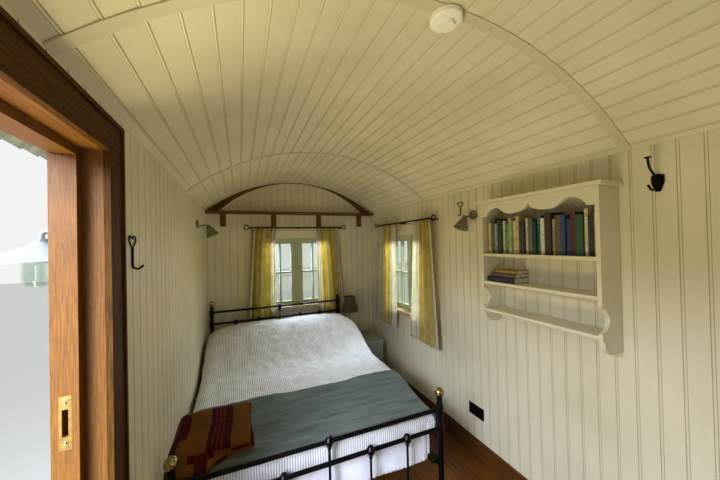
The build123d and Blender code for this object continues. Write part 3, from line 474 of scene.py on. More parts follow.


# Each brushed paint darkens towards its joint colour in grooves and corners: painted shade, with some dust.
CREAM = brushed_paint("cream_eggshell_paint", "#CFC7A6", "#DDD5B8", 0.55)
CREAM_ALONG = brushed_paint("cream_paint_on_ceiling", "#D2CAA9", "#E0D8BB", 0.6, along=1)
CREAM_STRIP = brushed_paint("cream_paint_on_strips", "#C6BE9E", "#D2CAAC", 0.5)
SHELF_PAINT = brushed_paint("cream_gloss_paint", "#CFC7A6", "#DDD5B8", 0.45, along=1)
SAGE = brushed_paint("sage_window_paint", "#9DA47C", "#B2B892", 0.42)
DOOR_TOP = MIDDLE.z + node_box("door_frame")[1].z - 50 * MM
HARDWOOD = planed_wood("oiled_hardwood", "#623A0A", "#805210", 2, 0.55, 4 * MM, 0.0, DOOR_TOP, 0.3)
# the architrave is the door frame's hardwood darkened: painted shade for its faces turned into the room
SHADED_HARDWOOD = planed_wood(
    "oiled_hardwood_in_painted_shade", "#3A2308", "#5E3C10", 2, 0.65, 4 * MM, 0.0, DOOR_TOP, 0.1
)
SILL_HARDWOOD = planed_wood("oiled_hardwood_sill", "#6E3C18", "#965A2B", 1)
PINE = planed_wood("waxed_pine", "#5A3C16", "#765222", 0, 0.6, coat=0.0, shine=0.15)
PALE_PINE = planed_wood("waxed_pale_pine", "#B08E60", "#CFAF80", 0, 0.5, coat=0.05)
SKIRTING = planed_wood("varnished_pine_skirting", "#42260C", "#643E16", 1, 0.5, coat=0.0, shine=0.2)
FLOOR_BOARD = 0.125
FLOOR = floor_timber(FLOOR_BOARD)
TARRED_TIMBER = planed_wood("tarred_chassis_timber", "#2E261E", "#4C4032", 1, 0.7, coat=0.0)
LEAF_WOOD = planed_wood("oiled_hardwood_boards", "#8E4F22", "#BC763C", 2)
BLACK_IRON = painted_iron("black_painted_iron", "#050505", "#020202", 0.3, coat=0.0, shine=0.15)
WHEEL_IRON = painted_iron("cast_iron_paint", "#33302C", "#1F1D1B", 0.6, 22 * MM, 0.8 * MM)
SHEET_IRON = sheet_iron()
TRIM_PAINT = brushed_paint("grey_outside_paint", "#6C706D", "#7F8380", 0.6, dust_and_shade="#4A4C48")
OUTSIDE_PAINT = brushed_paint("sage_outside_paint", "#7E8672", "#8E9680", 0.6, dust_and_shade="#4C5144")
BRASS = worn_brass("worn_brass", "#8A6E3A", "#B89A58", 0.35)
DULL_BRASS = worn_brass("dull_brass_knobs", "#80703E", "#B8AC78", 0.2)
HANDLE_PAINT = painted_iron("ivory_painted_handles", "#D2CDB2", "#BDB89C", 0.35, 8 * MM, 0.05 * MM)
GLASS = clear_glass()
LAMP_PAINT = painted_iron("sage_lamp_paint", "#736F55", "#636048", 0.4, 30 * MM, 0.05 * MM)
# the outside lamp's white enamel is given mid greys: painted shade over the whole dish
SHADED_ENAMEL = painted_iron("white_enamel_in_painted_shade", "#767A78", "#666A68", 0.2, 60 * MM, 0.05 * MM)
WHITE_PLASTIC = plain_plastic("white_abs", "#F2EEE2", 0.45)
BLACK_PLASTIC = plain_plastic("black_abs", "#060606", 0.3)
CABINET_PAINT = brushed_paint("cabinet_paint", "#868A80", "#9CA094", 0.5, dust_and_shade="#5A5C52")
CURTAIN_BANDS = [(0.07, "#EDE8D2"), (0.012, "#8A7E62"), (0.05, "#EDE8D2"), (0.012, "#8A7E62")]
CURTAIN_BANDS += [(0.036, "#EDE8D2"), (0.15, "#DECA76"), (0.12, "#E8DCA0"), (0.27, "#DECA76")]
CURTAIN_BANDS += [(0.05, "#EDE8D2"), (0.012, "#8A7E62"), (0.05, "#EDE8D2"), (0.012, "#8A7E62")]
CURTAIN_BANDS += [(0.156, "#EDE8D2")]
CURTAIN = woven_cloth("striped_cotton_curtain", 0.520, CURTAIN_BANDS, 0.9 * MM, 0.15 * MM, through=0.6)
TICKING_BANDS = [(0.64, "#F8F8F6"), (0.36, "#B2B6BC")]
TICKING = woven_cloth("white_ticking", 0.0135, TICKING_BANDS, 1.2 * MM, 0.2 * MM, sheen=0.1)
WHITE_COTTON = woven_cloth("white_cotton", 1.0, [(1.0, "#ECEEF6")], 0.8 * MM, 0.1 * MM, sheen=0.1)
VELVET = crushed_velvet()
BOOK_CLOTH = book_cloth()
WOOL_BANDS = [(0.13, "#460A08"), (0.2625, "#744812"), (0.06, "#400808"), (0.02, "#6E2014")]
WOOL_BANDS += [(0.035, "#400808"), (0.02, "#6E2014"), (0.035, "#400808"), (0.02, "#6E2014")]
WOOL_BANDS += [(0.10, "#400808"), (0.3175, "#744812")]
WOOL = woven_cloth(
    "striped_wool_blanket", 0.40, WOOL_BANDS, 2.2 * MM, 0.6 * MM, roughness=1.0, sheen=0.0, shine=0.1
)
HESSIAN_BANDS = [(1.0, "#5C4A36")]
HESSIAN = woven_cloth("brown_hessian", 1.0, HESSIAN_BANDS, 1.6 * MM, 0.5 * MM, through=0.1, sheen=0.05)


def dress_nodes():
    """Gives each solid that shows its own finish."""
    finishes = {
        CREAM: "left_wall_near left_wall_far left_wall_over_door right_wall far_end_wall near_end_wall "
        "vault_lining window_architraves",
        CREAM_STRIP: "ceiling_cover_strips",
        SHELF_PAINT: "bookshelf",
        SAGE: "window_frames window_casements",
        HARDWOOD: "door_frame",
        SHADED_HARDWOOD: "door_architrave",
        SILL_HARDWOOD: "door_sill",
        LEAF_WOOD: "door_leaf",
        PINE: "ledge_shelf ledge_battens arch_board",
        PALE_PINE: "window_sills",
        SKIRTING: "skirting_boards",
        FLOOR: "floor_boards",
        TARRED_TIMBER: "chassis_beams cross_members floor_joists rear_axle front_axle drawbar roof_bows",
        BLACK_IRON: "door_hinges curtain_rods wall_hooks bed_head bed_foot bed_base",
        WHEEL_IRON: "wheel_rear_left wheel_rear_right wheel_front_left wheel_front_right turntable",
        TRIM_PAINT: "corner_boards end_arch_boards",
        BRASS: "lock_keep",
        DULL_BRASS: "bed_knobs",
        GLASS: "window_glass outside_lamp_glass",
        LAMP_PAINT: "wall_lamps",
        SHADED_ENAMEL: "outside_lamp",
        WHITE_PLASTIC: "smoke_alarm",
        BLACK_PLASTIC: "wall_socket",
        CABINET_PAINT: "bedside_cabinet",
        WHITE_COTTON: "mattress",
    }
    for material, nodes in finishes.items():
        for name in nodes.split():
            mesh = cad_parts[name].data
            mesh.materials.clear()
            mesh.materials.append(material)


# ---- boards on the walls and the vault
BOARD_WIDTH = 79 * MM
BOARD_PROUD = 5 * MM
WALL_BEAD = 9
CEILING_BEAD = 6
BOW_DEPTH = 50 * MM
CUT_DEPTH = 30 * MM


def board_section(bead):
    """Beaded matchboard, across and proud of the wall: a quirk, a bead, a second quirk and the flat."""
    w, t = BOARD_WIDTH / MM, BOARD_PROUD / MM
    a, b, q = 1.1, 1.1 + bead, 2.4
    points = [(0.15, -1), (0.15, q), (a, q), (a + 0.4, 3.6), (a + bead * 0.25, 4.7), (a + bead / 2, t)]
    points += [(b - bead * 0.25, 4.7), (b - 0.4, 3.6), (b, q), (b + 1.0, q), (b + 1.8, t)]
    points += [(w - 0.8, t), (w - 0.15, 4.2), (w - 0.15, -1)]
    return [(x * MM, y * MM) for x, y in points]


def board_pattern(name, across, proud, along, length, bead=WALL_BEAD):
    """One board as a closed prism, lying by the origin in the given directions."""
    section = board_section(bead)
    count = len(section)
    across, proud, along = Vector(across), Vector(proud), Vector(along)
    points = [across * a + proud * p + along * s for s in (0, length) for a, p in section]
    faces = [tuple(range(count)), tuple(range(2 * count - 1, count - 1, -1))]
    faces += [(i, i + count, (i + 1) % count + count, (i + 1) % count) for i in range(count)]
    mesh = bpy.data.meshes.new(name)
    mesh.from_pydata([tuple(p) for p in points], [], faces)
    piece = link_helper(name, mesh)
    face_outwards(piece)
    return piece


def cutter_from(name, outlines):
    """Closed prisms that cut other pieces: each is an outline and the vector it is drawn along."""
    shape = bmesh.new()
    for outline, draw in outlines:
        low = [shape.verts.new(MIDDLE + Vector(p)) for p in outline]
        high = [shape.verts.new(MIDDLE + Vector(p) + Vector(draw)) for p in outline]
        shape.faces.new(low)
        shape.faces.new(high[::-1])
        for i in range(len(low)):
            k = (i + 1) % len(low)
            shape.faces.new((low[i], high[i], high[k], low[k]))
    bmesh.ops.recalc_face_normals(shape, faces=shape.faces)
    mesh = bpy.data.meshes.new(name)
    shape.to_mesh(mesh)
    shape.free()
    return link_helper(name, mesh)


def board_tree():
    """Boards in a straight row, cut where the cutter is."""
    tree, given = start_tree(
        "board_row",
        Board="Object",
        First="Vector",
        Step="Vector",
        Count="Int",
        Cutter="Object",
        Paint="Material",
    )
    inputs = {"Start Location": given["First"], "Offset": given["Step"]}
    line = line_of_points(tree, given["Count"], **inputs)
    row = copies(tree, line, shape_of(tree, given["Board"]))
    settings = {"operation": "DIFFERENCE", "solver": "EXACT"}
    inputs = {"Mesh 1": row, "Mesh 2": shape_of(tree, given["Cutter"])}
    cut = add_node(tree, "GeometryNodeMeshBoolean", settings, inputs)
    end_tree(tree, cut.outputs["Mesh"], given["Paint"])
    return tree


def vault_tree():
    """Boards side by side round the vault, each turned to face its middle."""
    tree, given = start_tree(
        "vault_boards",
        Board="Object",
        Count="Int",
        Turn="Float",
        Radius="Float",
        Centre="Vector",
        Paint="Material",
    )
    line = line_of_points(tree, given["Count"], Offset=(0, 0, 0))
    index = add_node(tree, "GeometryNodeInputIndex").outputs[0]
    from_crown = calculate(tree, "SUBTRACT", index, calculate(tree, "MULTIPLY", given["Count"], 0.5))
    angle = calculate(tree, "MULTIPLY", from_crown, given["Turn"])
    unit = join_vector(tree, x=calculate(tree, "SINE", angle), z=calculate(tree, "COSINE", angle))
    settings, inputs = {"operation": "SCALE"}, {0: unit, "Scale": given["Radius"]}
    out = add_node(tree, "ShaderNodeVectorMath", settings, inputs).outputs[0]
    settings, inputs = {"operation": "ADD"}, {0: out, 1: given["Centre"]}
    spots = add_node(tree, "ShaderNodeVectorMath", settings, inputs).outputs[0]
    turned = join_vector(tree, y=angle)
    rotation = add_node(tree, "FunctionNodeEulerToRotation", inputs={0: turned}).outputs[0]
    board = shape_of(tree, given["Board"])
    row = copies(tree, set_positions(tree, line, spots), board, Rotation=rotation)
    end_tree(tree, row, given["Paint"])
    return tree


WINDOW_HALF = 0.429
WINDOW_BOTTOM = 0.900
WINDOW_TOP = 1.798
WINDOW_REBATE = 22 * MM
SIDE_WINDOW_Y = 1.142
DOOR_NEAR, DOOR_FAR = (node_box("door_frame")[0].y, node_box("door_frame")[1].y)
DOOR_HEAD = node_box("door_frame")[1].z


def board_wall(tree, name, axis, face, proud, heights, half, holes, finish, arch=None):
    """Upright boards on a wall square to the axis (0 for a side wall), looking the proud way (1 or -1).

    The holes are (low, high) along the wall and up it; the arch is the radius that trims the top.
    """
    along = 1 - axis
    low, high = heights

    def point_at(a, z, away):
        point = Vector((0, 0, z))
        point[axis], point[along] = face + away, a
        return point

    # the first cutter trims the last board where the wall ends
    past_end = ((half, half + 0.2), (low - 0.1, high + 0.1))
    draw = point_at(0, 0, CUT_DEPTH) - point_at(0, 0, -CUT_DEPTH)
    outlines = []
    for (a_low, a_high), (z_low, z_high) in [past_end, *holes]:
        corners = ((a_low, z_low), (a_high, z_low), (a_high, z_high), (a_low, z_high))
        outlines.append(([point_at(a, z, -CUT_DEPTH) for a, z in corners], draw))
    across, out = Vector(), Vector()
    across[along], out[axis] = 1, proud
    paint, slot = finish
    piece = grow(
        name,
        tree,
        Board=board_pattern("board_" + name, across, out, (0, 0, 1), high - low),
        First=MIDDLE + point_at(-half, low, 0),
        Step=across * BOARD_WIDTH,
        Count=math.ceil(2 * half / BOARD_WIDTH),
        Cutter=cutter_from("cut_" + name, outlines),
        Paint=paint,
    )
    if arch:
        for vertex in piece.data.vertices:
            place = vertex.co - MIDDLE
            top = VAULT_CENTRE + math.sqrt(arch**2 - min(abs(place[along]), half) ** 2)
            vertex.co.z = MIDDLE.z + min(place.z, top)
    keep_piece(piece)


def line_the_room():
    """Upright beaded boards on both faces of the four walls, and boards along the vault."""
    tree = board_tree()
    inner = WINDOW_HALF - WINDOW_REBATE
    high_low = (WINDOW_BOTTOM, WINDOW_TOP - WINDOW_REBATE)
    window = [((-inner, inner), high_low)]
    side_window = [((SIDE_WINDOW_Y - inner, SIDE_WINDOW_Y + inner), high_low)]
    door = [((DOOR_NEAR, DOOR_FAR), (WALL_FOOT - 0.1, DOOR_HEAD))]

    finish = (CREAM, "cream_boards")
    low = SKIRTING_TOP - 4 * MM
    side = (low, EAVE + 2 * MM)
    end = (low, EAVE + RISE + 20 * MM)
    board_wall(tree, "right_boards", 0, HALF_WIDTH, -1, side, HALF_LENGTH, side_window, finish)
    board_wall(tree, "left_boards", 0, -HALF_WIDTH, 1, side, HALF_LENGTH, door, finish)
    board_wall(tree, "far_boards", 1, HALF_LENGTH, -1, end, HALF_WIDTH, window, finish, VAULT_RADIUS)
    board_wall(tree, "near_boards", 1, -HALF_LENGTH, 1, end, HALF_WIDTH, window, finish, VAULT_RADIUS)

    finish = (OUTSIDE_PAINT, "outside_paint")
    bow = VAULT_RADIUS + LINING + BOW_DEPTH
    arch = bow - 4 * MM
    side = (WALL_FOOT, VAULT_CENTRE + math.sqrt(arch**2 - (WALL_OUT + BOARD_PROUD) ** 2))
    end = (WALL_FOOT, VAULT_CENTRE + bow)
    board_wall(tree, "right_cladding", 0, WALL_OUT, 1, side, END_OUT, side_window, finish)
    board_wall(tree, "left_cladding", 0, -WALL_OUT, -1, side, END_OUT, door, finish)
    board_wall(tree, "far_cladding", 1, END_OUT, 1, end, WALL_OUT, window, finish, arch)
    board_wall(tree, "near_cladding", 1, -END_OUT, -1, end, WALL_OUT, window, finish, arch)

    arc = 2 * VAULT_RADIUS * math.asin(HALF_WIDTH / VAULT_RADIUS)
    length = 2 * HALF_LENGTH
    piece = grow(
        "vault_boards",
        vault_tree(),
        Board=board_pattern("board_vault", (1, 0, 0), (0, 0, -1), (0, 1, 0), length, CEILING_BEAD),
        Count=math.ceil(arc / BOARD_WIDTH) + 1,
        Turn=BOARD_WIDTH / VAULT_RADIUS,
        Radius=VAULT_RADIUS,
        Centre=MIDDLE + Vector((0, -HALF_LENGTH, VAULT_CENTRE)),
        Paint=CREAM_ALONG,
    )
    keep_piece(piece)


# ---- corrugated iron roof
WAVE_PITCH = 76 * MM
WAVE_HEIGHT = 16 * MM
STEPS_PER_WAVE = 10
SHEET_THICKNESS = 1 * MM


def corrugated_tree():
    """A corrugated sheet bent over a radius, its waves running from eave to eave."""
    tree, given = start_tree(
        "corrugated_sheet",
        Length="Float",
        Arc="Float",
        Pitch="Float",
        Wave="Float",
        Radius="Float",
        Steps="Int",
        Rows="Int",
        Crown="Vector",
        Paint="Material",
    )

    def work(operation, *values):
        return calculate(tree, operation, *values)

    inputs = {"Size X": given["Length"], "Size Y": given["Arc"]}
    inputs.update({"Vertices X": given["Steps"], "Vertices Y": given["Rows"]})
    grid = add_node(tree, "GeometryNodeMeshGrid", inputs=inputs).outputs[0]
    along, round_it, _ = split_vector(tree, add_node(tree, "GeometryNodeInputPosition").outputs[0])
    phase = work("MULTIPLY", work("DIVIDE", along, given["Pitch"]), 2 * math.pi)
    rise = work("MULTIPLY", work("SINE", phase), work("MULTIPLY", given["Wave"], 0.5))
    reach = work("ADD", given["Radius"], rise)
    angle = work("DIVIDE", round_it, given["Radius"])
    side = work("MULTIPLY", reach, work("SINE", angle))
    above = work("SUBTRACT", work("MULTIPLY", reach, work("COSINE", angle)), given["Radius"])
    bent = set_positions(tree, grid, join_vector(tree, along, side, above))
    inputs = {"Mesh": bent, "Offset Scale": SHEET_THICKNESS, "Individual": False}
    thick = add_node(tree, "GeometryNodeExtrudeMesh", {"mode": "FACES"}, inputs)
    under = add_node(tree, "GeometryNodeFlipFaces", inputs={"Mesh": bent})
    both = add_node(tree, "GeometryNodeJoinGeometry", inputs={0: thick.outputs[0]})
    tree.links.new(under.outputs[0], both.inputs[0])
    inputs = {"Geometry": both.outputs[0], "Distance": 1e-6}
    closed = add_node(tree, "GeometryNodeMergeByDistance", inputs=inputs).outputs[0]
    inputs = {"Geometry": closed, "Translation": given["Crown"], "Rotation": (0, 0, math.pi / 2)}
    moved = add_node(tree, "GeometryNodeTransform", inputs=inputs)
    end_tree(tree, moved.outputs[0], given["Paint"])
    return tree


def roof_the_hut():
    """One corrugated sheet over the bows, with the overhangs of the plain one that it stands for."""
    low, high = node_box("roof_sheet")
    top = VAULT_RADIUS + high.z - (EAVE + RISE)
    radius = top - WAVE_HEIGHT / 2 - SHEET_THICKNESS
    piece = grow(
        "corrugated_roof",
        corrugated_tree(),
        Length=high.y - low.y,
        Arc=2 * math.asin(high.x / top) * radius,
        Pitch=WAVE_PITCH,
        Wave=WAVE_HEIGHT,
        Radius=radius,
        Steps=round((high.y - low.y) / WAVE_PITCH * STEPS_PER_WAVE),
        Rows=33,
        Crown=MIDDLE + Vector((0, 0, VAULT_CENTRE + radius)),
        Paint=SHEET_IRON,
    )
    keep_piece(piece, ["roof_sheet"], smooth=True)


# ---- curtains
CURTAIN_MARGIN = 5 * MM
PLEAT_PITCH = 0.05
RINGS = 6
RING_INSET = 8 * MM
RING_RADIUS = 12 * MM
RING_WIRE = 1.6 * MM


def cloth_size(points, rows, columns):
    """The flat width and length of a cloth given as a grid: its rows' and columns' mean true lengths."""
    grid = np.array([tuple(p) for p in points]).reshape(rows, columns, 3)
    across = np.linalg.norm(np.diff(grid, axis=1), axis=2).sum(axis=1).mean()
    along = np.linalg.norm(np.diff(grid, axis=0), axis=2).sum(axis=0).mean()
    return float(across), float(along)


def runs_across(points, rows, columns):
    """How far each point of a cloth lies along its row, as rows of lengths."""
    grid = np.array([tuple(p) for p in points]).reshape(rows, columns, 3)
    steps = np.linalg.norm(np.diff(grid, axis=1), axis=2)
    return np.concatenate([np.zeros((rows, 1)), np.cumsum(steps, axis=1)], axis=1)


def grid_shares(rows, columns):
    """How far each point of a grid lies down it and across it, row after row, from 0 to 1."""
    return [(i / (rows - 1), j / (columns - 1)) for i in range(rows) for j in range(columns)]


def finish_cloth(name, points, columns, uv, material, thickness, replaces, offset=0.0):
    """A finished cloth from its grid of points, with its flat size measured along it."""
    rows = len(points) // columns
    piece = mesh_from(name, points, grid_faces(rows, columns), material, uv)
    solid = piece.modifiers.new("thickness", "SOLIDIFY")
    solid.thickness = thickness
    solid.offset = offset
    keep_piece(finish_modifiers(piece), replaces, smooth=True)


def make_curtain(name, node, side, place, seed):
    """One gathered curtain: narrow pleats under the rod that open into slack folds at the hem."""
    low, high = place["z"]
    inner_top, outer_top, inner_hem, outer_hem = place["spans"]
    columns, rows = 190, 50
    points = []
    for t, s in grid_shares(rows, columns):
        inner = inner_top + (inner_hem - inner_top) * t**0.8
        outer = outer_top + (outer_hem - outer_top) * t**0.8
        # bunch spaces the pleats unevenly, sway leans them and second adds the small folds of the hem
        bunch = s + 0.018 * math.sin(4 * math.pi * s + seed) + 0.012 * math.sin(10 * math.pi * s + 2 * seed)
        sway = 0.5 * math.sin(2.1 * t + seed + 3 * s) + 0.25 * math.sin(5 * t + 7 * s)
        phase = 2 * math.pi * place["pleats"] * bunch + sway * t
        fold = math.sin(phase)
        sharp = math.copysign(abs(fold) ** 0.75, fold)
        depth = (14 + 4 * t) * MM * (0.75 + 0.25 * math.sin(9 * s + seed))
        second = 2.5 * MM * t * math.sin(2.7 * phase + 6 * t)
        squeeze = 6 * MM * math.cos(phase) * (0.7 + 0.3 * t)
        along = inner + (outer - inner) * bunch + squeeze
        points.append(place["turn"](side * along, depth * sharp + second, high + (low - high) * t))
    runs = place["start"] + runs_across(points, rows, columns).mean(axis=0)
    length = cloth_size(points, rows, columns)[1]
    uv = [(float(run), i / (rows - 1) * length) for i in range(rows) for run in runs]
    finish_cloth(
        name, points, columns, uv, CURTAIN, 1.2 * MM, [node]
    )


def curtain_spans(node, axis, centre, side):
    """Where a curtain starts and ends outwards from the window's middle: on its rod, then at its hem."""
    points = [v.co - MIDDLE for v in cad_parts[node].data.vertices]
    mine = [(side * (p[axis] - centre), p.z) for p in points if side * (p[axis] - centre) > 0]
    spans = []
    for level in (max(z for _, z in mine), min(z for _, z in mine)):
        reach = [a for a, z in mine if abs(z - level) < 1 * MM]
        spans += [min(reach) + CURTAIN_MARGIN, max(reach) - CURTAIN_MARGIN]
    return spans


def hang_curtains():
    """A pair of curtains on each rod that shows, with the rings that carry them."""
    ring_spots = []
    for node, axis, centre, seed, start in (
        ("end_window_curtains", 0, 0.0, 0.0, 0.0),
        ("side_window_curtains", 1, SIDE_WINDOW_Y, 2.0, 0.45),
    ):
        low, high = node_box(node)
        across = 1 - axis
        depth = (low[across] + high[across]) / 2

        def turn(a, d, z, axis=axis, across=across, centre=centre, depth=depth):
            point = [0.0, 0.0, z]
            point[axis] = centre + a
            point[across] = depth + d
            return point

        for i, side in enumerate((-1, 1)):
            spans = curtain_spans(node, axis, centre, side)
            place = {
                "z": (low.z + 2 * MM, high.z - 6 * MM),
                "spans": spans,
                "turn": turn,
                "pleats": round((spans[1] - spans[0]) / PLEAT_PITCH),
                "start": 0.02 * i + start,
            }
            name = node.split("_")[0] + "_curtain_" + ("near", "far")[i]
            make_curtain(name, node, side, place, 1.3 * i + seed)
            first, last = spans[0] + RING_INSET, spans[1] - RING_INSET
            for k in range(RINGS):
                a = side * (first + (last - first) * k / (RINGS - 1))
                ring_spots.append((turn(a, 0, high.z + 5 * MM), axis))
    hang_rings(ring_spots)


def hang_rings(spots):
    """Small iron rings on the rods, with the curtain's heading stitched to them."""
    tree, given = start_tree(
        "curtain_rings", Spots="Object", Radius="Float", Wire="Float", Paint="Material"
    )
    circles = []
    for resolution, radius in ((18, given["Radius"]), (6, given["Wire"])):
        inputs = {"Resolution": resolution, "Radius": radius}
        circle = add_node(tree, "GeometryNodeCurvePrimitiveCircle", {"mode": "RADIUS"}, inputs)
        circles.append(circle.outputs[0])
    inputs = {"Curve": circles[0], "Profile Curve": circles[1]}
    ring = add_node(tree, "GeometryNodeCurveToMesh", inputs=inputs).outputs[0]
    settings = {"data_type": "FLOAT_VECTOR"}
    way = add_node(tree, "GeometryNodeInputNamedAttribute", settings, {"Name": "way"}).outputs[0]
    aim = add_node(tree, "FunctionNodeAlignRotationToVector", {"axis": "Z"}, {"Vector": way}).outputs[0]
    row = copies(tree, shape_of(tree, given["Spots"]), ring, Rotation=aim)
    end_tree(tree, row, given["Paint"])
    mesh = bpy.data.meshes.new("ring_spots")
    mesh.from_pydata([tuple(MIDDLE + Vector(p)) for p, _ in spots], [], [])
    ways = mesh.attributes.new("way", "FLOAT_VECTOR", "POINT")
    for i, (_, axis) in enumerate(spots):
        lean = 0.25 * math.sin(5.0 * i)
        ways.data[i].vector = (lean, 1, 0) if axis == 1 else (1, lean, 0)
    piece = grow(
        "curtain_rings",
        tree,
        Spots=link_helper("ring_spots", mesh),
        Radius=RING_RADIUS,
        Wire=RING_WIRE,
        Paint=BLACK_IRON,
    )
    keep_piece(piece, smooth=True)


# ---- bedding
MATTRESS_LOW, MATTRESS_HIGH = node_box("mattress")
EDGE_INSET = 20 * MM
EDGE_ROUND = 45 * MM
QUILT_LOFT = 30 * MM
QUILT_DROP = 125 * MM
PILLOW_HEIGHT = 0.26
PILLOW_REACH = 0.88
PILLOW_SLOPE = 0.62
PILLOW_END = 0.12


def ease(t):
    """A smooth step from 0 to 1."""
    t = min(max(t, 0.0), 1.0)
    return t * t * (3 - 2 * t)


def lumps(x, y, size, seed):
    """Smooth unevenness about this many metres across, from -1 to 1."""
    return noise.fractal(Vector((x / size, y / size, seed)), 1.0, 2.0, 4)


def pillow_rise(x, y):
    """How far the two pillows lift the quilt over the mattress."""
    low, high = MATTRESS_LOW, MATTRESS_HIGH
    along = ease((y - (high.y - PILLOW_REACH)) / PILLOW_SLOPE)
    fall = 1 - 0.35 * ease((y - (high.y - PILLOW_END)) / PILLOW_END)
    middle = (low.x + high.x) / 2
    across = abs(x - middle) / ((high.x - low.x) / 2)
    dip = 0.05 * math.exp(-(((x - middle) / 0.1) ** 2))
    shoulder = 1 - (0.2 if x < middle else 0.12) * across**4 - dip
    return PILLOW_HEIGHT * along * fall * shoulder


def bend_down(distance):
    """How far out and how far down cloth goes that lies this far past the mattress's edge."""
    arc = EDGE_ROUND * math.pi / 2
    if distance <= 0:
        return 0.0, 0.0
    if distance < arc:
        turn = distance / EDGE_ROUND
        return EDGE_ROUND * math.sin(turn), EDGE_ROUND * (1 - math.cos(turn))
    return EDGE_ROUND, EDGE_ROUND + distance - arc


def quilt_point(s, t, lift=0.0):
    """A point of the quilt: s across and t along are metres of cloth from the mattress's near left corner."""
    low, high = MATTRESS_LOW, MATTRESS_HIGH
    far_side = high.x - low.x - EDGE_INSET
    out_left, down_left = bend_down(EDGE_INSET - s)
    out_right, down_right = bend_down(s - far_side)
    out_foot, down_foot = bend_down(EDGE_INSET - t)
    down = max(down_left + down_right, down_foot)
    y = max(t, EDGE_INSET)
    # the right side swings out up the bed from its foot, and in again by the pillows
    flare_right = 1.0 + 2.0 * ease(y / 0.65) - 1.2 * ease((y - 1.55) / 0.2)
    px = low.x + min(max(s, EDGE_INSET), far_side) - 1.75 * out_left + flare_right * out_right
    py = low.y + y - out_foot
    top = high.z + QUILT_LOFT + pillow_rise(px, py)
    puff = 5 * MM * lumps(px, py, 0.33, 1) + 2.2 * MM * lumps(px, py * 0.4, 0.06, 5)
    crease = 4.5 * MM * lumps(px * 0.9 + 0.8 * py, py * 0.9 - 0.8 * px, 0.1, 9)
    crease *= 0.4 + 0.6 * ease((py - low.y - 0.6) / 0.3)
    hang = min(down / 0.12, 1.0)
    sway = 5 * MM * hang * math.sin((py if down_left + down_right > 0 else px) * 34)
    if down_left > 0:
        px += sway - lift
    if down_right > 0:
        px += sway + lift
    if down_foot > 0:
        py += sway - lift
    return Vector((px, py, top + (lift + puff + crease) * (1 - hang) - down))


def make_quilt():
    """The ticking quilt over the mattress and its pillows, hanging over both sides and the foot."""
    width, length = MATTRESS_HIGH.x - MATTRESS_LOW.x, MATTRESS_HIGH.y - MATTRESS_LOW.y
    columns, rows = 180, 230
    across, along = width + 2 * QUILT_DROP, length + QUILT_DROP + 0.015
    places = [(s * across - QUILT_DROP, t * along - QUILT_DROP) for t, s in grid_shares(rows, columns)]
    points = [quilt_point(s, t) for s, t in places]
    runs = runs_across(points, rows, columns)
    runs = runs - runs[:, columns // 2][:, None] + width / 2
    uv = [(float(run), t) for run, (_, t) in zip(runs.ravel(), places)]
    finish_cloth(
        "bed_quilt", points, columns, uv, TICKING, 6 * MM, ["quilt"], -1
    )


def make_throw():
    """The velvet throw over the quilt's foot half, a little wavy along its far edge."""
    columns, rows = 150, 70
    reach = QUILT_DROP + 12 * MM
    across = MATTRESS_HIGH.x - MATTRESS_LOW.x + 2 * reach
    t_near, t_far = -0.02, 0.60
    points, uv = [], []
    for share, s in grid_shares(rows, columns):
        s = s * across - reach
        edge = 0.012 * math.sin(6 * s) + 0.006 * math.sin(17 * s + 1)
        t = t_near + (t_far + edge * share - t_near) * share
        point = quilt_point(s, t, lift=9 * MM)
        hem = 2 * MM * math.exp(-(((1 - share) / 0.05) ** 2))
        ruck = 3 * MM * max(0.0, lumps(s * 0.7, t * 1.3, 0.09, 21))
        point.z += ruck + hem
        points.append(point)
        uv.append((s, t))
    finish_cloth(
        "velvet_throw", points, columns, uv, VELVET, 4 * MM, ["bed_throw"]
    )


def blanket_profile(span, layers, each):
    """The fold of a blanket laid in this many layers, as (share of its span, height above the bed)."""
    profile = []
    steps = 34
    for k in range(layers):
        inset = 5 * MM * (k % 3) / span
        shares = [inset + (1 - 2 * inset) * i / (steps - 1) for i in range(steps)]
        forward = k % 2 == 0
        profile += [(share, each * (k + 0.5)) for share in (shares if forward else shares[::-1])]
        if k < layers - 1:
            end, way = (1 - inset, 1) if forward else (inset, -1)
            for a in (0.2, 0.4, 0.6, 0.8):
                angle = math.pi * (a - 0.5)
                reach = way * (each / 2 + 3 * MM) * math.cos(angle) / span
                profile.append((end + reach, each * (k + 1) + each / 2 * math.sin(angle)))
    return profile


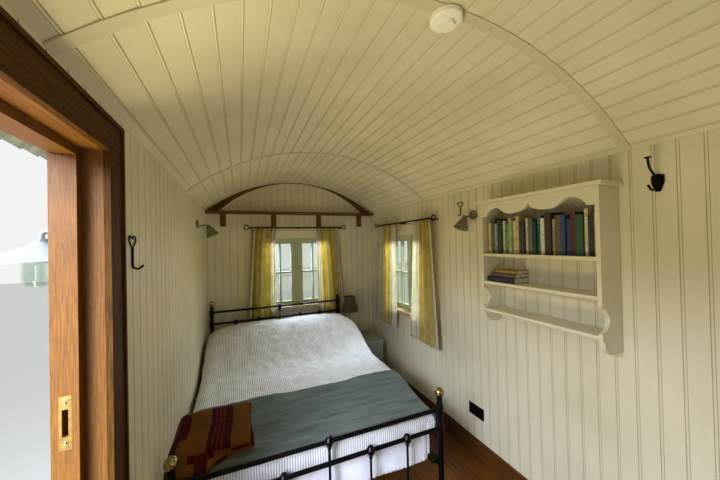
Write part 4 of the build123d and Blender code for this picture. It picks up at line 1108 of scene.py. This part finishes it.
def make_blanket():
    """A woollen blanket folded in four, lying on the throw and drooping over the bed's left edge."""
    box_low, box_high = node_box("folded_blanket")
    s_left, s_right = box_low.x - MATTRESS_LOW.x - 0.055, box_high.x - MATTRESS_LOW.x - 0.012
    t_low, t_high = box_low.y - MATTRESS_LOW.y, box_high.y - MATTRESS_LOW.y
    layers, each = 4, 13 * MM
    span = s_right - s_left
    profile = blanket_profile(span, layers, each)
    rows, columns = 70, len(profile)
    points = []
    for i in range(rows):
        v = i / (rows - 1)
        for share, z in profile:
            level = z / (layers * each)
            s = s_left + span * share + 4 * MM * math.sin(6 * v + 5 * level)
            t = t_low + (t_high - t_low) * v + 7 * MM * math.sin(4 * share + 9 * level)
            t += (12 * MM * (1 - level) - 5 * MM) * (1 if v > 0.5 else -1)
            # the lower layers reach further to the foot on the left
            slip = ease((0.8 - level) / 0.3) * max(0.0, 1 - 2 * v) * (1 - ease((share - 0.5) / 0.35))
            t -= 62 * MM * slip
            end = 1 - 0.35 * math.exp(-v / 0.03) - 0.35 * math.exp(-(1 - v) / 0.03)
            swell = 3.5 * MM * lumps(s, t, 0.12, 31 + 0.2 * level) * level
            points.append(quilt_point(s, t, lift=15 * MM + z * end + swell))
    runs = runs_across(points, rows, columns)[rows // 2]
    length = cloth_size(points, rows, columns)[1]
    uv = [(float(runs[-1] - run) + 0.202, i / (rows - 1) * length) for i in range(rows) for run in runs]
    finish_cloth(
        "wool_blanket",
        points,
        columns,
        uv,
        WOOL,
        each * 0.82,
        ["folded_blanket"],
    )


def valance_path():
    """The way of the under-sheet round the mattress, as points a few millimetres off it."""
    low, high = MATTRESS_LOW, MATTRESS_HIGH
    rounding, off = 0.05, 6 * MM
    near, left, right = low.y + rounding, low.x + rounding, high.x - rounding
    path = []

    def add_run(a, b, steps):
        for i in range(steps):
            path.append((a[0] + (b[0] - a[0]) * i / steps, a[1] + (b[1] - a[1]) * i / steps))

    def add_corner(x, start, steps=12):
        for i in range(steps):
            angle = start + (math.pi / 2) * i / steps
            path.append((x + (rounding + off) * math.cos(angle), near + (rounding + off) * math.sin(angle)))

    add_run((low.x - off, high.y), (low.x - off, near), 150)
    add_corner(left, math.pi)
    add_run((left, low.y - off), (right, low.y - off), 220)
    add_corner(right, 1.5 * math.pi)
    add_run((high.x + off, near), (high.x + off, high.y), 150)
    return path


def make_valance():
    """The white under-sheet that hangs round three sides of the mattress, with a frilled hem."""
    top, hem = MATTRESS_HIGH.z - 0.02, MATTRESS_LOW.z - 0.03
    path = valance_path()
    count, rows = len(path), 26
    outwards, runs = [], [0.0]
    for i, (x, y) in enumerate(path):
        a, b = path[max(i - 1, 0)], path[min(i + 1, count - 1)]
        d = Vector((b[0] - a[0], b[1] - a[1])).normalized()
        outwards.append((d.y, -d.x))
        if i:
            runs.append(runs[-1] + math.hypot(x - path[i - 1][0], y - path[i - 1][1]))
    points, uv = [], []
    for k in range(rows):
        t = k / (rows - 1)
        for (x, y), (out_x, out_y), run in zip(path, outwards, runs):
            slack = 5 * MM * t * math.sin(run * 21) * (0.6 + 0.4 * math.sin(run * 5 + 1))
            frill = 2 * MM * ease((t - 0.85) / 0.1) * math.sin(run * 240)
            scallop = 3 * MM * ease((t - 0.85) / 0.15) * abs(math.sin(run * 90))
            push = slack + frill + 3 * MM
            z = top + (hem - top) * t + scallop + 8 * MM * t * math.sin(run * 3.1)
            points.append((x + out_x * push, y + out_y * push, max(z, hem)))
            uv.append((run, t * (top - hem)))
    finish_cloth(
        "under_sheet", points, count, uv, WHITE_COTTON, 1 * MM, ()
    )


# ---- small things
def turned_shape(name, profile, centre, material, steps=48):
    """A closed shape turned about an upright axis from (radius, height) pairs; u runs round it."""
    points, uv = [], []
    for r, z in profile:
        for j in range(steps):
            angle = 2 * math.pi * j / steps
            points.append((centre[0] + r * math.cos(angle), centre[1] + r * math.sin(angle), centre[2] + z))
            uv.append((angle * 0.08, z))
    piece = mesh_from(name, points, grid_faces(len(profile), steps, wrap=True), material, uv)
    face_outwards(piece)
    return piece


COVERS = (
    "#C9BE8E #4A5A48 #8FA39A #2F3B2A #DAD6C4 #6F8A4E #9DB07A #D3CBA4 #CDB27A #3A3142 #CFC7A6 #6A6A62 #1F3A3A "
    "#2F6A68 #E2DED0 #3E2A22 #A58E66 #6B5A48 #2E4A6C #31456A #5A2320 #2C5A3A #D8D0B0 #26332C"
).split()
PILE_COVERS = ("#1D2130", "#5A4630", "#A88A2E")
BOOK_WIDTHS = (24, 31, 19, 36, 27, 22)
BOOK_HEIGHTS = (214, 196, 232, 205, 224, 188, 210)
PILE_HEIGHTS = (34, 26, 18)
END_CASEMENT_FACE = 2.141
SIDE_CASEMENT_FACE = 1.061
HANDLE_OFFSET = 42 * MM
KEEP_SCREW = 4.5 * MM
KEEP_SCREW_INSET = 18 * MM
# a window handle's backplate, neck and grip: half its width and its reach (mm), its bottom and top (m)
HANDLE_PARTS = ((7, (0, 3), 1.425, 1.505), (5, (2, 16), 1.480, 1.496), (4, (12, 19), 1.432, 1.494))


def solid_boxes(node):
    """The lowest and highest corners of each separate solid in a node, in the room's own place."""
    shape = bmesh.new()
    shape.from_mesh(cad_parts[node].data)
    bmesh.ops.remove_doubles(shape, verts=shape.verts, dist=1e-6)
    seen, boxes = set(), []
    for start in shape.verts:
        if start.index in seen:
            continue
        group, front = [], [start]
        seen.add(start.index)
        while front:
            vertex = front.pop()
            group.append(vertex.co.copy())
            for edge in vertex.link_edges:
                other = edge.other_vert(vertex)
                if other.index not in seen:
                    seen.add(other.index)
                    front.append(other)
        low = Vector([min(p[k] for p in group) for k in range(3)]) - MIDDLE
        high = Vector([max(p[k] for p in group) for k in range(3)]) - MIDDLE
        boxes.append((low, high))
    shape.free()
    return boxes


def add_book(shape, colours, box, axis, cover, wear):
    """A bound book in its box: boards with a rounded spine at low x, and its block of pages set in."""
    low, high = box
    t_low, t_high = low[axis], high[axis]
    up = 2 if axis == 1 else 1

    def prism(outline, a, b, colour):
        rows = []
        for value in (a, b):
            row = []
            for x, t in outline:
                point = Vector((x, 0, 0))
                point[axis], point[up] = t, value
                row.append(shape.verts.new(MIDDLE + point))
            rows.append(row)
        faces = [shape.faces.new(rows[0]), shape.faces.new(rows[1][::-1])]
        for i in range(len(outline)):
            k = (i + 1) % len(outline)
            faces.append(shape.faces.new((rows[0][i], rows[1][i], rows[1][k], rows[0][k])))
        for face in faces:
            for loop in face.loops:
                loop[colours] = colour

    middle, half = (t_low + t_high) / 2, (t_high - t_low) / 2
    spine, board, gap = 6 * MM, 2.2 * MM, 0.1 * MM
    hinge, back = low.x + 9 * MM, high.x - 4 * MM
    turns = np.linspace(-1.35, 1.35, 9)
    curve = [(low.x + spine * (1 - math.cos(a)), middle + half * math.sin(a)) for a in turns]
    outline = curve + [(high.x, t_high), (high.x, t_high - board), (hinge, t_high - board)]
    outline += [(hinge, t_low + board), (high.x, t_low + board), (high.x, t_low)]
    prism(outline, low[up], high[up], cover)
    front, bottom, top = hinge + 2 * gap, t_low + board + gap, t_high - board - gap
    pages = [(front, bottom), (back, bottom), (back, top), (front, top)]
    prism(pages, low[up] + 3 * MM, high[up] - 3 * MM, linear("#D9D0B2"))
    if wear:
        # two raised bands in a paler tone, with no lettering
        band = [(x - 0.15 * MM, t) for x, t in curve] + [(x + 0.6 * MM, t) for x, t in curve[::-1]]
        tone = tuple(min(1.0, c * 2.2 + 0.03) for c in cover[:3]) + (1.0,)
        for share in (0.14, 0.80):
            start = low[up] + (high[up] - low[up]) * share
            prism(band, start, start + 5 * MM, tone)


def fill_shelf():
    """Plain cloth-bound books, a row of them upright and a few lying down, none with lettering."""
    (low, high), (pile_low, pile_high) = sorted(solid_boxes("shelf_books"), key=lambda box: -box[0].z)
    shape = bmesh.new()
    colours = shape.loops.layers.float_color.new("cover")
    gap = 0.3 * MM
    row = []
    y, i = low.y, 0
    while y + BOOK_WIDTHS[i % len(BOOK_WIDTHS)] * MM < high.y + 1 * MM:
        thick, tall = BOOK_WIDTHS[i % len(BOOK_WIDTHS)] * MM, BOOK_HEIGHTS[i % len(BOOK_HEIGHTS)] * MM
        first = Vector((low.x + 6 * MM * (i % 3), y + gap, low.z))
        row.append((first, Vector((high.x, y + thick - gap, low.z + tall))))
        y += thick
        i += 1
    for i, box in enumerate(row[::-1]):
        add_book(shape, colours, box, 1, linear(COVERS[i % len(COVERS)]), i % 3 == 1)
    z = pile_low.z
    for i, (thick, cover) in enumerate(zip(PILE_HEIGHTS, PILE_COVERS)):
        first = Vector((pile_low.x + 8 * MM * i, pile_low.y, z))
        last = Vector((pile_high.x, pile_high.y - 24 * MM * i, z + thick * MM - gap))
        add_book(shape, colours, (first, last), 2, linear(cover), False)
        z += thick * MM
    bmesh.ops.recalc_face_normals(shape, faces=shape.faces)
    keep_piece(piece_from("bound_books", shape, BOOK_CLOTH), ["shelf_books"])


SHADE_HEIGHT = 0.187


def make_table_lamp():
    """The lamp on the cabinet: a turned brass stem, and a shade of brown hessian that tapers upwards."""
    low, high = node_box("table_lamp")
    centre = ((low.x + high.x) / 2, (low.y + high.y) / 2, low.z)
    tall = high.z - low.z
    stem = [(0.0001, 0), (0.058, 0), (0.058, 0.006), (0.046, 0.014), (0.014, 0.024), (0.006, 0.036)]
    stem += [(0.006, tall - 0.09), (0.013, tall - 0.085), (0.013, tall - 0.03), (0.0001, tall - 0.03)]
    stem = turned_shape("lamp_stem", stem, centre, BRASS)
    keep_piece(stem, ["table_lamp"], smooth=True)
    bottom = tall - SHADE_HEIGHT
    radius = (high.x - low.x) / 2 + 8 * MM
    outer = [(radius, bottom), (radius - 0.0005, bottom + 0.004), (0.0645, tall - 0.004), (0.064, tall)]
    inner = [(0.061, tall - 0.002), (radius - 0.0035, bottom + 0.002)]
    shade = turned_shape("lamp_shade", outer + inner + outer[:1], centre, HESSIAN, steps=96)
    keep_piece(shade, smooth=True)


def add_block(shape, low, high):
    """A small closed box with softened edges."""
    centre = [(a + b) / 2 for a, b in zip(low, high)]
    scale = Matrix.Diagonal([abs(b - a) for a, b in zip(low, high)] + [1])
    place = Matrix.Translation(MIDDLE + Vector(centre)) @ scale
    corners = bmesh.ops.create_cube(shape, size=1.0, matrix=place)["verts"]
    edges = list({edge for corner in corners for edge in corner.link_edges})
    bmesh.ops.bevel(shape, geom=edges, offset=0.8 * MM, segments=2, affect="EDGES")


def fit_fasteners():
    """A turning handle on each casement's meeting stile, with its backplate."""
    shape = bmesh.new()
    for axis, face, way, centre in (
        (1, END_CASEMENT_FACE, -1, 0.0),
        (1, -END_CASEMENT_FACE, 1, 0.0),
        (0, SIDE_CASEMENT_FACE, -1, SIDE_WINDOW_Y),
    ):
        for side in (-1, 1):
            across = centre + side * HANDLE_OFFSET
            for half, reach, bottom, top in HANDLE_PARTS:
                low, high = [0, 0, bottom], [0, 0, top]
                low[axis], high[axis] = face + way * reach[0] * MM, face + way * reach[1] * MM
                low[1 - axis], high[1 - axis] = across - half * MM, across + half * MM
                add_block(shape, low, high)
    keep_piece(piece_from("window_fasteners", shape, HANDLE_PAINT), smooth=False)


def fit_keep_screws():
    """The two brass screws of the lock's keep."""
    low, high = node_box("lock_keep")
    shape = bmesh.new()
    flat = Matrix.Diagonal((1, 0.25, 1, 1))
    for z in (low.z + KEEP_SCREW_INSET, high.z - KEEP_SCREW_INSET):
        place = Matrix.Translation(MIDDLE + Vector(((low.x + high.x) / 2, low.y, z))) @ flat
        bmesh.ops.create_uvsphere(shape, u_segments=16, v_segments=8, radius=KEEP_SCREW, matrix=place)
    keep_piece(piece_from("keep_screws", shape, DULL_BRASS), smooth=True)


# ---- stage, light and camera
def set_stage():
    """A pale floor, and a sky that lights softly and is seen as a plain pale background."""
    size = 30.0
    mesh = bpy.data.meshes.new("ground")
    corners = [(-size, -size, 0), (size, -size, 0), (size, size, 0), (-size, size, 0)]
    mesh.from_pydata(corners, [], [(0, 1, 2, 3)])
    mesh.materials.append(start_material("pale_studio_floor", "#DDDEDA", 0.9)[0])
    link_piece("ground", mesh)
    world = bpy.data.worlds.new("pale_sky")
    bpy.context.scene.world = world
    world.use_nodes = True
    tree = world.node_tree
    tree.nodes.clear()
    light = add_node(tree, "ShaderNodeBackground", inputs={"Color": linear("#F4F6F8"), "Strength": 0.9})
    seen = add_node(tree, "ShaderNodeBackground", inputs={"Color": linear("#F2F4F2"), "Strength": 1.0})
    path = add_node(tree, "ShaderNodeLightPath").outputs
    glossy = calculate(tree, "MAXIMUM", path["Is Camera Ray"], path["Is Glossy Ray"])
    through = calculate(tree, "MAXIMUM", glossy, path["Is Transmission Ray"])
    inputs = {0: through, 1: light.outputs[0], 2: seen.outputs[0]}
    mix = add_node(tree, "ShaderNodeMixShader", inputs=inputs)
    add_node(tree, "ShaderNodeOutputWorld", inputs={"Surface": mix.outputs[0]})


def add_lamp(name, place, target, size, watts, colour, spread=180):
    """A soft rectangular lamp at one point, aimed at another, that the camera doesn't see."""
    lamp = bpy.data.lights.new(name, "AREA")
    lamp.shape = "RECTANGLE"
    lamp.size, lamp.size_y = size
    lamp.spread = math.radians(spread)
    lamp.energy = watts
    lamp.color = linear(colour)[:3]
    thing = bpy.data.objects.new(name, lamp)
    spot, aim = MIDDLE + Vector(place), MIDDLE + Vector(target)
    facing = (aim - spot).to_track_quat("-Z", "Y").to_matrix().to_4x4()
    thing.matrix_world = Matrix.Translation(spot) @ facing
    thing.visible_camera = False
    bpy.context.scene.collection.objects.link(thing)


def set_lamps():
    """Daylight through the doorway and the windows, and what the ground and the bed throw back."""
    y = (DOOR_NEAR + DOOR_FAR) / 2
    side_y = SIDE_WINDOW_Y
    sky, ground, bed = "#DCE6FF", "#FFF0B2", "#FFE9A8"
    add_lamp("door_daylight", (-2.3, y - 0.1, 2.55), (0.4, y + 0.5, 0.1), (1.6, 0.9), 290, sky)
    add_lamp("slanting_daylight", (-2.5, y - 1.15, 2.2), (-0.25, 0.2, 0.1), (0.9, 0.8), 20, sky, 60)
    add_lamp("near_window_daylight", (0, -2.08, 1.35), (-0.3, 0.6, 0.9), (0.7, 0.75), 3.5, sky)
    add_lamp("ground_bounce", (-2.2, y, -0.6), (0.1, y + 0.5, 2.4), (1.6, 1.2), 84, ground)
    add_lamp("side_window_daylight", (1.24, side_y, 1.45), (0.2, side_y, 0.6), (0.72, 0.7), 15, sky, 90)
    add_lamp("end_window_daylight", (0, 2.28, 1.45), (0, 0.8, 0.5), (0.72, 0.7), 15, sky, 100)
    add_lamp("doorstep_bounce", (-1.24, y, -0.1), (-1.1, y, 1.85), (0.12, 0.6), 2.6, ground, 40)
    add_lamp("jamb_daylight", (-1.5, y - 0.5, 1.0), (-1.06, y + 0.35, 1.0), (0.3, 1.2), 1.2, sky, 50)
    add_lamp("bed_bounce", (0, 0.6, 1.0), (0, 0.7, 2.4), (1.0, 1.2), 5, bed)


CAMERA_PLACE = (-0.6635, -1.5796, 1.6958)
CAMERA_LENS = 14.484
CAMERA_YAW, CAMERA_PITCH, CAMERA_ROLL = (math.radians(a) for a in (22.49, 0.60, -1.32))


def set_camera():
    """The photograph's eye, by the near end wall, turned to the right of the hut's length."""
    data = bpy.data.cameras.new("camera")
    data.sensor_width = 36.0
    data.lens = CAMERA_LENS
    data.clip_start = 0.01
    camera = bpy.data.objects.new("camera", data)
    right = Vector((math.cos(CAMERA_YAW), -math.sin(CAMERA_YAW), 0))
    level = Vector((math.sin(CAMERA_YAW), math.cos(CAMERA_YAW), 0))
    ahead = level * math.cos(CAMERA_PITCH) + Vector((0, 0, math.sin(CAMERA_PITCH)))
    up = right.cross(ahead)
    side = right * math.cos(CAMERA_ROLL) + up * math.sin(CAMERA_ROLL)
    top = side.cross(ahead)
    axes = Matrix((side, top, -ahead)).transposed().to_4x4()
    camera.matrix_world = Matrix.Translation(MIDDLE + Vector(CAMERA_PLACE)) @ axes
    bpy.context.scene.collection.objects.link(camera)
    bpy.context.scene.camera = camera
    bpy.context.scene.view_settings.view_transform = "Standard"


set_camera()
dress_nodes()
line_the_room()
roof_the_hut()
hang_curtains()
make_quilt()
make_throw()
make_blanket()
make_valance()
make_table_lamp()
fill_shelf()
fit_fasteners()
fit_keep_screws()
for helper in HELPERS:
    bpy.data.objects.remove(helper)
set_stage()
set_lamps()
